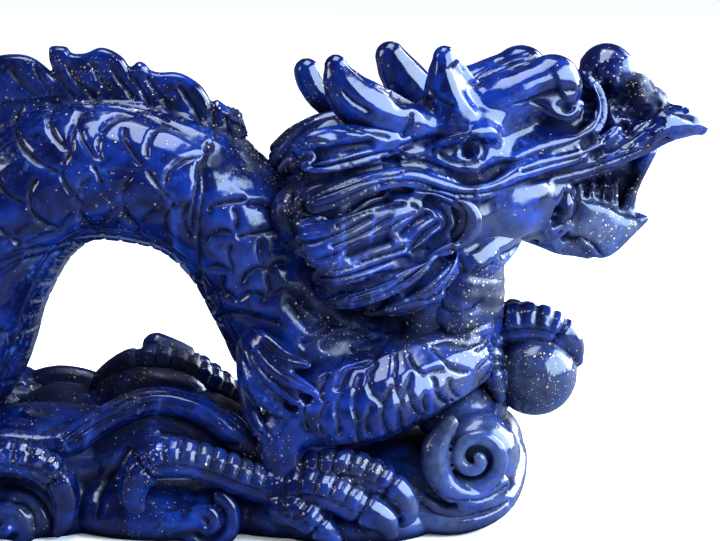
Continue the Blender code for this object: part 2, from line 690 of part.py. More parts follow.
def ground_cutter(collection):
    """The block of air under the sawn face."""
    bpy.ops.mesh.primitive_cube_add(size=1)
    cutter = bpy.context.object
    cutter.name = "saw_cut"
    cutter.scale = (0.4, 0.2, GROUND_DEPTH * MM)
    cutter.location = (0, 0, -GROUND_DEPTH * MM / 2)
    for home in list(cutter.users_collection):
        home.objects.unlink(cutter)
    collection.objects.link(cutter)
    cutter.hide_render = True
    cutter.display_type = "WIRE"
    return cutter


def sculpt(collection):
    """Every form of the carving, laid over one another."""
    frame = head_frame()
    coil(collection)
    fin_plates(collection)
    tail_flames(collection)
    skull(collection, frame)
    muzzle(collection, frame)
    lower_jaw(collection, frame)
    teeth(collection, frame)
    brows(collection, frame)
    horns(collection, frame)
    ears(collection, frame)
    whiskers(collection, frame)
    mane(collection, frame)
    throat(collection)
    limbs(collection)
    elbow_flames(collection)
    paws(collection)
    pearl(collection)
    clouds(collection)


def main():
    clear_scene()
    forms = new_collection("forms")
    cutters = new_collection("cutters")
    stone = new_collection("lapis_dragon")
    sculpt(forms)
    bpy.context.view_layer.update()
    shells = [as_mesh(form, forms) for form in list(forms.objects)]
    dragon = joined(shells, "dragon_carving", stone)
    bpy.data.collections.remove(forms)
    dragon.data.materials.append(lapis())
    fuse = dragon.modifiers.new("fuse", "REMESH")
    fuse.mode = "VOXEL"
    fuse.voxel_size = FUSE_VOXEL * MM
    fuse.use_smooth_shade = True
    polish = dragon.modifiers.new("polish", "SMOOTH")
    polish.factor = 0.5
    polish.iterations = POLISH_PASSES
    graph = bpy.context.evaluated_depsgraph_get()
    fused_faces = len(dragon.evaluated_get(graph).data.polygons)
    facet = dragon.modifiers.new("facet", "DECIMATE")
    facet.ratio = TRIANGLE_TARGET / (2 * fused_faces)
    saw = dragon.modifiers.new("saw", "BOOLEAN")
    saw.operation = "DIFFERENCE"
    saw.object = ground_cutter(cutters)


main()
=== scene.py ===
import json
import math
from functools import partial

import bmesh
import bpy
import numpy as np
from mathutils import Matrix, Vector

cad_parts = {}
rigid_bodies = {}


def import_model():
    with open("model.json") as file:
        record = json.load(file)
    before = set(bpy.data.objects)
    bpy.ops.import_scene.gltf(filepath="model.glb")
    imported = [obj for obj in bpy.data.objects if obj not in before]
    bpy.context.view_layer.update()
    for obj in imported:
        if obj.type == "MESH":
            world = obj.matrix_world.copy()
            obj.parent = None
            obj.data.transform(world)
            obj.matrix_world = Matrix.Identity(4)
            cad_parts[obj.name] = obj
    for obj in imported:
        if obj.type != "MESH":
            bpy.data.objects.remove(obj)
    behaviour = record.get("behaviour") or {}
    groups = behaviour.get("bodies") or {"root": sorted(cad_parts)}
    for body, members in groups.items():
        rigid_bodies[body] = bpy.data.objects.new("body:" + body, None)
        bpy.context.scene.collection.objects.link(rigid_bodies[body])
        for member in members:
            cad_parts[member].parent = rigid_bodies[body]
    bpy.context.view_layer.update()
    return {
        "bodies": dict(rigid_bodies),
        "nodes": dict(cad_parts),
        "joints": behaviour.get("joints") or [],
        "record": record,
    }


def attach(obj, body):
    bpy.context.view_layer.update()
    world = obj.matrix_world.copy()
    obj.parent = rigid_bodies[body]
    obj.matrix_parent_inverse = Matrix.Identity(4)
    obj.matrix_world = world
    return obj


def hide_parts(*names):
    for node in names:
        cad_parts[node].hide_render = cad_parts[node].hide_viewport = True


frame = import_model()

mm = 0.001
photoWidth, photoHeight = 720, 541

# Where the photograph was taken from. Places read off the photograph are in its pixels, and are carried
# onto the stone along straight lines from this fixed point.
shot = {
    "azimuth": 0.0,
    "elevation": 12.0,
    "targetMm": (50.0, 0.0, 58.0),
    "distanceMm": 560.0,
    "lensMm": 116.67,
    "sensorMm": 36.0,
}

stone = {
    "grainMm": 0.45,  # size of the finest cut that the meshes hold
    "quickGrainMm": 0.9,
    "sawnFaceMm": 0.0,
    "taperPx": 4.0,  # the length over which a stroke of the tool runs out
    # for each piece: how often its fused forms are smoothed, and the most triangles it may have
    "pieces": {
        "archedBody": (4, 180000), "dragonHead": (3, 190000), "mane": (26, 190000), "limbs": (6, 130000),
        "clawsAndPearl": (2, 130000), "cloudBase": (3, 130000),
    },
}


def shotDirections():
    # eye point, and the directions forward, right and up
    turn, rise = math.radians(shot["azimuth"]), math.radians(shot["elevation"])
    back = np.array((math.sin(turn) * math.cos(rise), -math.cos(turn) * math.cos(rise), math.sin(rise)))
    eye = np.array(shot["targetMm"]) + back * shot["distanceMm"]
    right = np.array((math.cos(turn), math.sin(turn), 0.0))
    return eye, -back, right, np.cross(right, -back)


eyePoint, eyeForward, eyeRight, eyeUp = shotDirections()
pixelsPerSlope = photoWidth * shot["lensMm"] / shot["sensorMm"]
mmPerPixel = shot["distanceMm"] / pixelsPerSlope


def toPhoto(points):
    # points in mm to places on the photograph
    seen = points - eyePoint
    depth = seen @ eyeForward
    across = photoWidth / 2 + pixelsPerSlope * (seen @ eyeRight) / depth
    down = photoHeight / 2 - pixelsPerSlope * (seen @ eyeUp) / depth
    return np.stack((across, down), axis=1)


def newCollection(name):
    made = bpy.data.collections.new(name)
    bpy.context.scene.collection.children.link(made)
    return made


roughForms = newCollection("roughForms")
carving = newCollection("lapisDragon")


def place(name, data, collection=None):
    made = bpy.data.objects.new(name, data)
    (collection or bpy.context.scene.collection).objects.link(made)
    return made


# laying out forms, in mm


def between(p0, p1, p2, p3, t):
    t2, t3 = t * t, t * t * t
    return tuple(
        0.5 * (2 * b + (c - a) * t + (2 * a - 5 * b + 4 * c - d) * t2 + (3 * b - a - 3 * c + d) * t3)
        for a, b, c, d in zip(p0, p1, p2, p3)
    )


def smoothPath(points, steps=4):
    last = len(points) - 1
    path = []
    for i in range(last):
        ends = (points[max(i - 1, 0)], points[i], points[i + 1], points[min(i + 2, last)])
        path += [between(*ends, k / steps) for k in range(steps)]
    return path + [tuple(points[-1])]


def roundEnd(path, rings=3):
    # carries a bar on past its end and closes it with half a ball
    x, y, z, radius = path[-1]
    along = (Vector((x, y, z)) - Vector(path[-2][:3])).normalized()
    points = []
    for k in range(1, rings + 1):
        turn = math.radians(84 * k / rings)
        middle = Vector((x, y, z)) + along * radius * math.sin(turn)
        points.append((*middle, radius * math.cos(turn)))
    return points


def tubes(name, paths, flat=1.0, steps=4, sides=3, frame=None):
    # round bars through points of x, y, z and radius; flat squeezes each across y
    data = bpy.data.curves.new(name, "CURVE")
    data.dimensions = "3D"
    data.bevel_depth = mm
    data.bevel_resolution = sides
    data.use_fill_caps = True
    for points in paths:
        path = smoothPath(points, steps)
        path = roundEnd(path[::-1])[::-1] + path + roundEnd(path)
        spline = data.splines.new("POLY")
        spline.points.add(len(path) - 1)
        for point, (x, y, z, radius) in zip(spline.points, path):
            point.co = (x * mm, y * mm / flat, z * mm, 1)
            point.radius = max(radius, 0.05)
    place(name, data, roughForms).matrix_world = (frame or Matrix.Identity(4)) @ Matrix.Diagonal((1, flat, 1, 1))


def balls(name, items, frame=None):
    # ellipsoids: centre, three radii, tilt about y in degrees
    shape = bmesh.new()
    for centre, radii, tilt in items:
        turned = Matrix.Translation(Vector(centre) * mm) @ Matrix.Rotation(math.radians(tilt), 4, "Y")
        size = Matrix.Diagonal((*[r * mm for r in radii], 1))
        bmesh.ops.create_uvsphere(shape, u_segments=32, v_segments=20, radius=1, matrix=turned @ size)
    data = bpy.data.meshes.new(name)
    shape.to_mesh(data)
    shape.free()
    place(name, data, roughForms).matrix_world = frame or Matrix.Identity(4)


def slabs(name, outlines, halfThickness, rounding, frame=None):
    # flat upright shapes: (y, [(x, z), ...])
    for index, (depth, outline) in enumerate(outlines):
        data = bpy.data.curves.new(f"{name}{index}", "CURVE")
        data.dimensions = "2D"
        data.fill_mode = "BOTH"
        data.extrude = (halfThickness - rounding) * mm
        data.bevel_depth = rounding * mm
        data.bevel_resolution = 3
        data.offset = -rounding * mm
        loop = smoothPath(list(outline) + [outline[0]], 4)[:-1]
        spline = data.splines.new("POLY")
        spline.points.add(len(loop) - 1)
        spline.use_cyclic_u = True
        for point, (x, z) in zip(spline.points, loop):
            point.co = (x * mm, z * mm, 0, 1)
        stand = Matrix.Translation((0, depth * mm, 0)) @ Matrix.Rotation(math.radians(90), 4, "X")
        place(f"{name}{index}", data, roughForms).matrix_world = (frame or Matrix.Identity(4)) @ stand


def mirrored(paths):
    return paths + [[(a, -w, c, r) for a, w, c, r in path] for path in paths]


def mirroredBalls(items):
    return items + [((a, -w, c), radii, tilt) for (a, w, c), radii, tilt in items]


def bundle(upper, lower, count):
    locks = []
    for k in range(count):
        t = k / max(count - 1, 1)
        locks.append([tuple(a + (b - a) * t for a, b in zip(p, q)) for p, q in zip(upper, lower)])
    return locks


# fusing the forms and cutting into them


def fuse(name):
    # everything in roughForms becomes one closed skin of even quads
    bpy.context.view_layer.update()
    graph = bpy.context.evaluated_depsgraph_get()
    shape = bmesh.new()
    for form in list(roughForms.objects):
        data = bpy.data.meshes.new_from_object(form.evaluated_get(graph))
        data.transform(form.matrix_world)
        if form.matrix_world.determinant() < 0:
            data.flip_normals()
        shape.from_mesh(data)
        bpy.data.meshes.remove(data)
    for form in list(roughForms.objects):
        bpy.data.objects.remove(form, do_unlink=True)
    bmesh.ops.remove_doubles(shape, verts=shape.verts, dist=1e-6)
    data = bpy.data.meshes.new(name + "Rough")
    shape.to_mesh(data)
    shape.free()
    rough = place(name + "Rough", data, roughForms)
    skin = rough.modifiers.new("skin", "REMESH")
    skin.mode = "VOXEL"
    skin.voxel_size = stone["grainMm"] * mm
    soft = rough.modifiers.new("soft", "SMOOTH")
    soft.factor = 0.5
    soft.iterations = stone["pieces"][name][0]
    graph = bpy.context.evaluated_depsgraph_get()
    fused = bpy.data.meshes.new_from_object(rough.evaluated_get(graph))
    bpy.data.objects.remove(rough, do_unlink=True)
    return fused


def sawFlat(data):
    # cuts off what hangs below the sawn underside and closes the cut
    shape = bmesh.new()
    shape.from_mesh(data)
    height = stone["sawnFaceMm"] * mm
    if min(v.co.z for v in shape.verts) < height:
        everything = shape.verts[:] + shape.edges[:] + shape.faces[:]
        sawn = {"plane_co": (0, 0, height), "plane_no": (0, 0, -1)}
        bmesh.ops.bisect_plane(shape, geom=everything, dist=1e-7, clear_outer=True, **sawn)
        rim = [edge for edge in shape.edges if edge.is_boundary]
        bmesh.ops.triangle_fill(shape, edges=rim, use_beauty=True, normal=(0, 0, -1))
        bmesh.ops.recalc_face_normals(shape, faces=shape.faces[:])
    shape.to_mesh(data)
    shape.free()


def numbersOf(items, key, width, kind=np.float32):
    # one property of all items as rows of numbers
    values = np.empty(len(items) * width, kind)
    items.foreach_get(key, values)
    return values.reshape(-1, width)


def pointsOf(data):
    return numbersOf(data.vertices, "co", 3).astype(np.float64) / mm


def normalsOf(data):
    return numbersOf(data.vertex_normals, "vector", 3).astype(np.float64)


def edgesOf(data):
    return numbersOf(data.edges, "vertices", 2, np.int32)


def setPoints(data, points):
    data.vertices.foreach_set("co", (points * mm).astype(np.float32).ravel())
    data.update()


def neighbourMean(values, ends):
    # each point's mean over the points it shares an edge with
    count = np.bincount(ends.ravel(), minlength=len(values)).astype(float)
    count[count == 0] = 1
    columns = values.reshape(len(values), -1)
    means = np.empty_like(columns, dtype=float)
    for k in range(columns.shape[1]):
        total = np.bincount(ends[:, 0], columns[ends[:, 1], k], len(values))
        total += np.bincount(ends[:, 1], columns[ends[:, 0], k], len(values))
        means[:, k] = total / count
    return means.reshape(values.shape)


def smoothstep(low, high, value):
    t = np.clip((value - low) / (high - low), 0, 1)
    return t * t * (3 - 2 * t)


def lineDistance(places, line):
    # distance to a line of points, how far along it the nearest place is, and the side (left is positive)
    best = np.full(len(places), np.inf)
    run = np.zeros(len(places))
    side = np.zeros(len(places))
    start = 0.0
    for a, b in zip(line[:-1], line[1:]):
        step = b - a
        length = max(float(np.hypot(*step)), 1e-9)
        t = np.clip(((places - a) @ step) / length**2, 0, 1)
        off = places - (a + t[:, None] * step)
        distance = np.hypot(off[:, 0], off[:, 1])
        closer = distance < best
        best[closer] = distance[closer]
        run[closer] = start + t[closer] * length
        side[closer] = np.sign(step[0] * off[closer, 1] - step[1] * off[closer, 0])
        start += length
    return best, run, side, start


def cutLines(places, strokes, wide, deep, slope=0.0, rounded=False):
    # how deep each place is cut, in mm, by strokes of a pointed tool drawn on the photograph; with a slope
    # the left side of each cut, seen along the stroke on the photograph turned upright, falls away gently
    depth = np.zeros(len(places))
    reach = 4.5 * wide / mmPerPixel
    for stroke in strokes:
        line = np.array(smoothPath(stroke))
        near = np.nonzero(((places > line.min(0) - reach) & (places < line.max(0) + reach)).all(1))[0]
        if not len(near):
            continue
        distance, run, side, length = lineDistance(places[near], line)
        ends = np.clip(np.minimum(run, length - run) / stone["taperPx"] + 0.25, 0, 1)
        profile = np.exp(-((distance * mmPerPixel / wide) ** (2 if rounded else 1)))
        if slope:
            gentle = np.maximum(0, 1 - distance * mmPerPixel / slope) ** 1.2
            profile = np.where(side > 0, gentle, profile)
        cut = deep * ends * profile
        depth[near] = np.maximum(depth[near], cut)
    return depth


def pits(places, holes):
    # round hollows: (px x, px y, radius in px, depth in mm)
    depth = np.zeros(len(places))
    for x, y, radius, deep in holes:
        distance = np.hypot(places[:, 0] - x, places[:, 1] - y)
        depth += deep * np.exp(-((distance / radius) ** 2))
    return depth


def flats(points, normals, seeds, reach, share):
    # moves the skin within reach (px) of each seed on to the flat plane that fits it there
    places = toPhoto(points)
    height = np.zeros(len(points))
    turned = faces(points, normals) > 0.3
    seeds = np.array(seeds, float)
    low, high = seeds.min(0) - reach, seeds.max(0) + reach
    near = np.nonzero(((places > low) & (places < high)).all(1) & turned)[0]
    apart = np.linalg.norm(places[near, None] - seeds[None], axis=2)
    owner, distance = apart.argmin(1), apart.min(1)
    for k in range(len(seeds)):
        cell = near[(owner == k) & (distance < reach)]
        if len(cell) < 30:
            continue
        middle, tilt = points[cell].mean(0), normals[cell].mean(0)
        tilt /= np.linalg.norm(tilt)
        lift = ((middle - points[cell]) @ tilt) / np.maximum(normals[cell] @ tilt, 0.5)
        edge = 1 - smoothstep(reach * 0.8, reach, distance[(owner == k) & (distance < reach)])
        height[cell] = np.clip(lift, -1.2, 1.2) * share * edge
    return height


def soften(data, zones, passes):
    # rubs the skin smooth in places: px x, px y, radius in px
    points, ends = pointsOf(data), edgesOf(data)
    places = toPhoto(foldOver(points, normalsOf(data))[0])
    share = np.clip(pits(places, [(x, y, radius, 1.0) for x, y, radius in zones]), 0, 1)[:, None]
    for _ in range(passes):
        points = points + share * (neighbourMean(points, ends) - points)
    setPoints(data, points)


def runLengths(path):
    lengths = [0.0]
    for a, b in zip(path, path[1:]):
        lengths.append(lengths[-1] + (Vector(b[:3]) - Vector(a[:3])).length)
    return lengths


def followPath(points, bar, steps):
    # for each point: how far along the bar it lies, its offset from the bar's middle line, the direction and
    # radius of the bar there, its distance from the line, and the bar's whole length
    path = np.array(smoothPath(bar, steps))
    lengths = np.array(runLengths([tuple(p) for p in path]))
    nearest, distance = np.zeros(len(points), int), np.full(len(points), np.inf)
    for start in range(0, len(points), 20000):
        block = slice(start, start + 20000)
        apart = np.linalg.norm(points[block, None, :] - path[None, :, :3], axis=2)
        nearest[block], distance[block] = apart.argmin(1), apart.min(1)
    ahead = path[np.minimum(nearest + 1, len(path) - 1), :3]
    behind = path[np.maximum(nearest - 1, 0), :3]
    along = (ahead - behind) / np.linalg.norm(ahead - behind, axis=1)[:, None]
    off = points - path[nearest, :3]
    return lengths[nearest] + (off * along).sum(1), off, along, path[nearest, 3], distance, lengths[-1]


def finish(name, data, cuts):
    # pushes the skin in by each cut in turn, thins it and marks where the stone changes and where shade is painted
    points, normals = pointsOf(data), normalsOf(data)
    for cut in cuts:
        points = points + normals * cut(points, normals)[:, None]
        setPoints(data, points)
        normals = normalsOf(data)
    ends = edgesOf(data)
    points = points + 0.35 * (neighbourMean(points, ends) - points)
    setPoints(data, points)
    sawFlat(data)
    made = place(name, data, carving)
    triangles, mostTriangles = sum(len(face.vertices) - 2 for face in data.polygons), stone["pieces"][name][1]
    if triangles > mostTriangles:
        thin = made.modifiers.new("thin", "DECIMATE")
        thin.ratio = mostTriangles / triangles
        graph = bpy.context.evaluated_depsgraph_get()
        thinned = bpy.data.meshes.new_from_object(made.evaluated_get(graph))
        made.modifiers.clear()
        made.data = thinned
        bpy.data.meshes.remove(data)
        data = thinned
    data.name = name
    data.polygons.foreach_set("use_smooth", [True] * len(data.polygons))
    points, normals, ends = pointsOf(data), normalsOf(data), edgesOf(data)
    for label, values in stoneTones(points, normals, ends).items():
        layer = data.attributes.new(label, "FLOAT", "POINT")
        layer.data.foreach_set("value", values.astype(np.float32))
    data.update()
    print(f"{name}: {len(data.polygons)} faces after thinning, from {triangles} triangles")
    return made


# the arched body, its fin and its tail
body = {
    "depthShare": 1.12,  # a little deeper, front to back, than it is thick
    "scaleRowMm": 5.9,  # from one row of scales to the next
    "scaleColumns": 7,  # scales round the body
    "scaleTipRows": 1.4,  # how far a scale's tip reaches over the rows behind it
    "scaleGrooveMm": 0.75,
    "scaleBevelMm": 1.7,
    "bellyPlateMm": 5.2,
    "finLengths": (6.0, 14.2, 10.6, 12.0),
    "finHeights": (4.6, 8.0, 11.2, 14.4),
    "finPitch": 15.0,
    "finNeckEnd": 11.4,
    "finTailEnd": 28.0,
    "finHalfThickness": 2.4,
    "finTopHeight": 31.6,  # the fin starts above this height on the neck
    "finRoundingMm": 1.3,
    "neckScaleRowMm": 4.6,
    "neckScaleColumns": 9,
    # width and depth of the cuts in mm
    "scaleCut": (0.4, 0.95),
    "rowCut": (0.7, 1.2),
    "seamCut": (0.8, 1.3),
    "fineCut": (0.5, 0.7),
    "finCut": (0.6, 0.9),
    "footCut": (0.9, 1.0),
    "shoulderCut": (1.0, 1.4),
    "neckFlat": (12, 0.9),  # how far a flat reaches in px, and how flat it gets
}

# the coil from the tail's tip to the neck: x, y, z and radius
coilLine = [
    (-103, -2, 101, 1.6), (-111, -3, 97, 3), (-118, -3, 86, 4.8), (-118, -2, 70, 6.8), (-110, 0, 54, 8.8),
    (-98, 2, 40, 10.8), (-86, 3, 28, 12.6), (-71, 3, 22, 14), (-56, 2, 27, 15.5), (-46, 1, 41, 16.8),
    (-41, 0, 57, 17.2), (-32, 0, 73, 17.4), (-19, 0, 82, 17.3), (-4, 0, 82.2, 17.1), (11, 0, 77.4, 16.8),
    (22.5, 0, 66.2, 16.4), (30.2, 0, 51.5, 16.2), (38, 1, 39, 17.2), (52, 3, 33, 15.5), (63, 5, 38, 15.2),
    (67, 6, 50, 14.4), (63, 5, 64, 13.5), (53, 2, 77, 13),
]


def coilPoint(path, lengths, s, height):
    # a point over the back at distance s along the coil, height above its skin
    index = min(range(len(path)), key=lambda i: abs(lengths[i] - s))
    here = Vector(path[index][:3])
    ahead = Vector(path[min(index + 1, len(path) - 1)][:3])
    behind = Vector(path[max(index - 1, 0)][:3])
    along = (ahead - behind).normalized()
    outward = Vector((-along.z, 0, along.x)).normalized()
    return here + along * (s - lengths[index]) + outward * (path[index][3] + height)


def finSpans(path, lengths):
    end = next(s for s, p in zip(lengths, path) if p[0] > body["finNeckEnd"] and p[2] > body["finTopHeight"])
    spans = []
    while end - body["finTailEnd"] > body["finPitch"] / 2:
        k = len(spans)
        length = body["finLengths"][k] if k < len(body["finLengths"]) else body["finPitch"]
        height = body["finHeights"][min(k, len(body["finHeights"]) - 1)]
        start = max(end - length, body["finTailEnd"])
        taper = min(1.0, 0.35 + 0.65 * (start - body["finTailEnd"]) / 90)
        spans.append((start, end, height * taper))
        end = start
    return spans


def fin():
    path = smoothPath(coilLine, 8)
    lengths = runLengths(path)
    leaf = [
        (-0.04, 0.86), (0, 1.04), (0.06, 1.13), (0.14, 1.06), (0.22, 0.92), (0.34, 0.9), (0.55, 1.02),
        (0.8, 0.82), (1, 0.36),
    ]
    root = [(1.06, -0.1), (1.0, -0.6), (0.05, -0.6), (0.02, 0.3)]
    outlines = []
    for start, end, height in finSpans(path, lengths):
        if coilPoint(path, lengths, (start + end) / 2, 0).z < 50:
            height *= 0.5  # low in the bend, where the blades would grow into each other
        points = [coilPoint(path, lengths, start + u * (end - start), h * height) for u, h in leaf + root]
        outlines.append((sum(p.y for p in points) / len(points), [(p.x, p.z) for p in points]))
    slabs("fin", outlines, body["finHalfThickness"], body["finRoundingMm"])


def tailFlames():
    flames = [
        [(-112, -3, 92, 4.5), (-108, -4, 101, 4), (-98, -4, 106, 2.8), (-89, -4, 104, 1.2)],
        [(-115, -3, 90, 4.5), (-113, -3, 103, 3.8), (-106, -3, 111, 2.4), (-99, -3, 113, 1)],
        [(-118, -2, 86, 4.5), (-121, -2, 98, 3.8), (-119, -2, 107, 2.6), (-114, -2, 113, 1)],
        [(-118, -2, 80, 4.5), (-126, -1, 90, 3.4), (-129, -1, 99, 2.4), (-128, -1, 107, 1)],
        [(-118, -2, 72, 4.5), (-126, -1, 78, 3), (-131, -1, 86, 1.8), (-132, -1, 92, 0.9)],
    ]
    tubes("tailFlames", flames, flat=0.9)


def aroundCoil(points):
    # distance along the coil, and angle from its back (0) past the near side (90) to its belly (180)
    run, off, along, radius, distance, length = followPath(points, coilLine, 8)
    outward = np.stack((-along[:, 2], np.zeros(len(along)), along[:, 0]), axis=1)
    outward /= np.linalg.norm(outward, axis=1)[:, None]
    out = (off * outward).sum(1)
    return run, np.degrees(np.arctan2(-off[:, 1] / body["depthShare"], out)), out, radius, distance


def scaleRelief(run, angle, rowMm, columns, radius):
    # overlapping round-edged scales whose free edges face the tail; each edge is a cut with a wide slope
    # on the tail's side and a steep one on its own
    u = run / rowMm
    v = angle / 360 * columns
    columnMm = 2 * math.pi * radius / columns
    inner = np.full(len(u), 99.0)
    done = np.zeros(len(u), bool)
    gap = np.full(len(u), 99.0)
    for ahead in (3, 2, 1, 0):
        k = np.floor(u) + ahead
        centre = 0.5 * (k % 2)
        x = np.abs((v - centre) - np.round(v - centre))
        tip = body["scaleTipRows"] * (1 - (2 * x) ** 2)
        lean = body["scaleTipRows"] * 8 * x * rowMm / columnMm
        inside = (u - (k - tip)) * rowMm / np.sqrt(1 + lean**2)
        covered = (inside >= 0) & ~done
        inner[covered] = inside[covered]
        gap = np.where(~done & ~covered, np.minimum(gap, -inside), gap)
        done |= covered
    slope = np.maximum(0, 1 - gap / body["scaleBevelMm"]) ** 1.2
    return -body["scaleGrooveMm"] * np.maximum(slope, np.exp(-inner / 0.3))


def neckSeam(points):
    # positive on the neck's side of the seam between the large scales and the neck's rows
    return points[:, 0] - (12.2 + (points[:, 2] - 50) * 0.095)


def scaleCut(points, normals):
    run, angle, out, radius, distance = aroundCoil(points)
    relief = scaleRelief(run, angle, body["scaleRowMm"], body["scaleColumns"], radius)
    wide = np.abs(angle)
    onScales = smoothstep(28, 36, wide) * (1 - smoothstep(132, 138, wide))
    onScales *= 1 - smoothstep(-1.5, 0, neckSeam(points)) * (points[:, 2] > 36)
    onScales *= smoothstep(25, 40, run)
    places = toPhoto(points)
    byHand = faces(points, normals) * (points[:, 1] < 2) * smoothstep(-14, -4, places[:, 0])
    byHand *= places[:, 1] < 262 + 0.5 * np.abs(places[:, 0] - 100)
    onScales *= 1 - byHand
    skin = distance < radius * 1.22
    height = relief * onScales * skin
    plates = np.abs(((run / body["bellyPlateMm"]) % 1) - 0.5) * 2
    belly = smoothstep(142, 148, wide) * skin
    height -= belly * 0.5 * smoothstep(0.72, 1.0, plates)
    height -= 0.7 * np.exp(-((np.abs(wide - 139) * radius / 57.3) / 0.6)) * skin * smoothstep(25, 40, run)
    root = np.exp(-np.abs(wide - 14) * radius / 57.3 / 0.8) * skin
    height -= 0.8 * root * (out > 0) * smoothstep(25, 40, run)
    blade = (np.abs(points[:, 1]) < body["finHalfThickness"] + 1) & (distance > radius * 1.05)
    return np.where(blade, 0, height)


# the near scales of the arch as they lie in the photograph; each edge is drawn from the back to the belly
archScales = [
    [(24, 106), (17, 117), (15, 128), (18, 138), (24, 147), (34, 157), (46, 165), (60, 172)],
    [(58, 104), (51, 113), (50, 124), (54, 133), (61, 142), (69, 150)],
    [(97, 104), (86, 109), (79, 117), (76, 127), (72, 137), (72, 147), (68, 156), (63, 167)],
    [(62, 168), (64, 178), (69, 188), (77, 198), (84, 207)], [(81, 129), (84, 138), (90, 148), (99, 160)],
    [(93, 162), (97, 171), (101, 180), (104, 185)], [(137, 114), (123, 116), (110, 123), (102, 134)],
    [(102, 134), (99, 147), (103, 161)], [(126, 127), (125, 136), (130, 146), (138, 158), (144, 166)],
    [(167, 126), (155, 131), (149, 144), (148, 158)],
    [(205, 153), (190, 158), (177, 165), (168, 175), (166, 191)],
    [(146, 168), (153, 176), (161, 188), (170, 198)],
    [(133, 175), (126, 185), (123, 199), (127, 215), (137, 226), (140, 238)],
    [(-4, 176), (3, 188), (13, 198), (26, 203)],
    [(38, 178), (31, 189), (30, 200), (33, 212), (45, 223), (62, 230)],
    [(94, 176), (84, 183), (78, 194), (80, 212), (88, 222), (98, 233)],
    [(176, 203), (166, 218), (166, 234), (172, 247)],
    [(199, 193), (189, 203), (184, 214), (186, 228), (192, 240)], [(-6, 210), (-2, 224), (8, 236), (22, 243)],
    [(-2, 128), (-5, 140), (-2, 152)],
]
archSeams = [
    [(60, 231), (66, 222), (76, 212), (79, 205)], [(100, 232), (104, 222), (115, 210), (122, 202)],
    [(140, 226), (148, 216), (158, 210), (168, 207)], [(104, 173), (118, 171), (132, 173), (145, 170)],
    [(26, 203), (31, 196)], [(5, 247), (16, 232), (30, 222)], [(24, 246), (40, 238), (58, 232)],
    [(-8, 262), (20, 252), (50, 247), (72, 242), (90, 240), (104, 240), (122, 242), (142, 246), (162, 252),
     (176, 262)], [(-4, 275), (20, 262), (46, 255), (66, 250)],
]
neckRows = [
    [(207, 212), (215, 205), (230, 201), (247, 199)], [(246, 203), (258, 203), (268, 206), (277, 216)],
    [(203, 245), (210, 236), (222, 231), (235, 233)], [(236, 237), (255, 233), (272, 229), (286, 221)],
    [(234, 206), (238, 220), (235, 234)], [(232, 244), (228, 257), (233, 272)],
    [(262, 237), (261, 253), (265, 268)], [(203, 270), (216, 267), (233, 273)],
    [(240, 284), (247, 273), (260, 267), (268, 270)], [(266, 271), (276, 263), (288, 262)],
    [(267, 272), (270, 287), (264, 302)], [(204, 298), (216, 292), (230, 296), (236, 303)],
    [(236, 302), (250, 294), (265, 298)], [(266, 301), (275, 294), (286, 291), (298, 296)],
    [(215, 318), (235, 314), (255, 318), (280, 324)], [(225, 275), (221, 287), (226, 298)],
]
seamLines = [
    [(213, 140), (206, 152), (203, 170), (204, 190), (200, 215), (198, 245), (198, 275), (202, 298), (214, 312)],
    [(208, 150), (200, 165), (198, 185), (194, 205), (191, 230)],
]
finGrooves = [
    [(56, 66), (60, 80), (68, 92), (80, 103)], [(134, 78), (141, 92), (152, 106), (170, 122)],
    [(213, 108), (214, 124), (218, 140)], [(66, 62), (72, 76), (84, 90), (100, 100)],
    [(146, 74), (154, 90), (168, 106), (186, 122)], [(226, 112), (228, 126), (236, 140)],
    [(92, 62), (98, 78), (112, 92)], [(178, 84), (186, 98), (196, 112), (206, 128)],
    [(12, 70), (20, 84), (34, 96)], [(34, 64), (40, 80), (52, 94)], [(110, 66), (120, 82), (134, 98)],
]
finFoot = [[(-10, 108), (30, 103), (70, 101), (110, 103), (140, 111), (170, 126), (198, 142), (214, 150)]]


def faces(points, normals):
    # 1 where the skin is turned towards the camera's fixed point
    toEye = eyePoint - points
    toEye /= np.linalg.norm(toEye, axis=1)[:, None]
    return smoothstep(0.02, 0.25, (normals * toEye).sum(1))


def bodyLines(points, normals):
    places = toPhoto(points)
    near = faces(points, normals) * (points[:, 1] < 2)
    rows = cutLines(places, archScales, *body["scaleCut"], slope=body["scaleBevelMm"])
    for strokes, size in ((neckRows, "rowCut"), (seamLines, "seamCut"), (archSeams, "fineCut")):
        rows = np.maximum(rows, cutLines(places, strokes, *body[size]))
    leaves = cutLines(places, finGrooves, *body["finCut"])
    leaves = np.maximum(leaves, cutLines(places, finFoot, *body["footCut"]))
    return -(rows + leaves) * near


def neckRelief(points, normals):
    # rows of rounded scales round the neck on the far side, where nothing is drawn
    run, angle, out, radius, distance = aroundCoil(points)
    far = (points[:, 1] > 1) * smoothstep(0, 2, neckSeam(points)) * (distance < radius * 1.2)
    relief = scaleRelief(-run, angle, body["neckScaleRowMm"], body["neckScaleColumns"], radius)
    return relief * far * (points[:, 2] > 30)


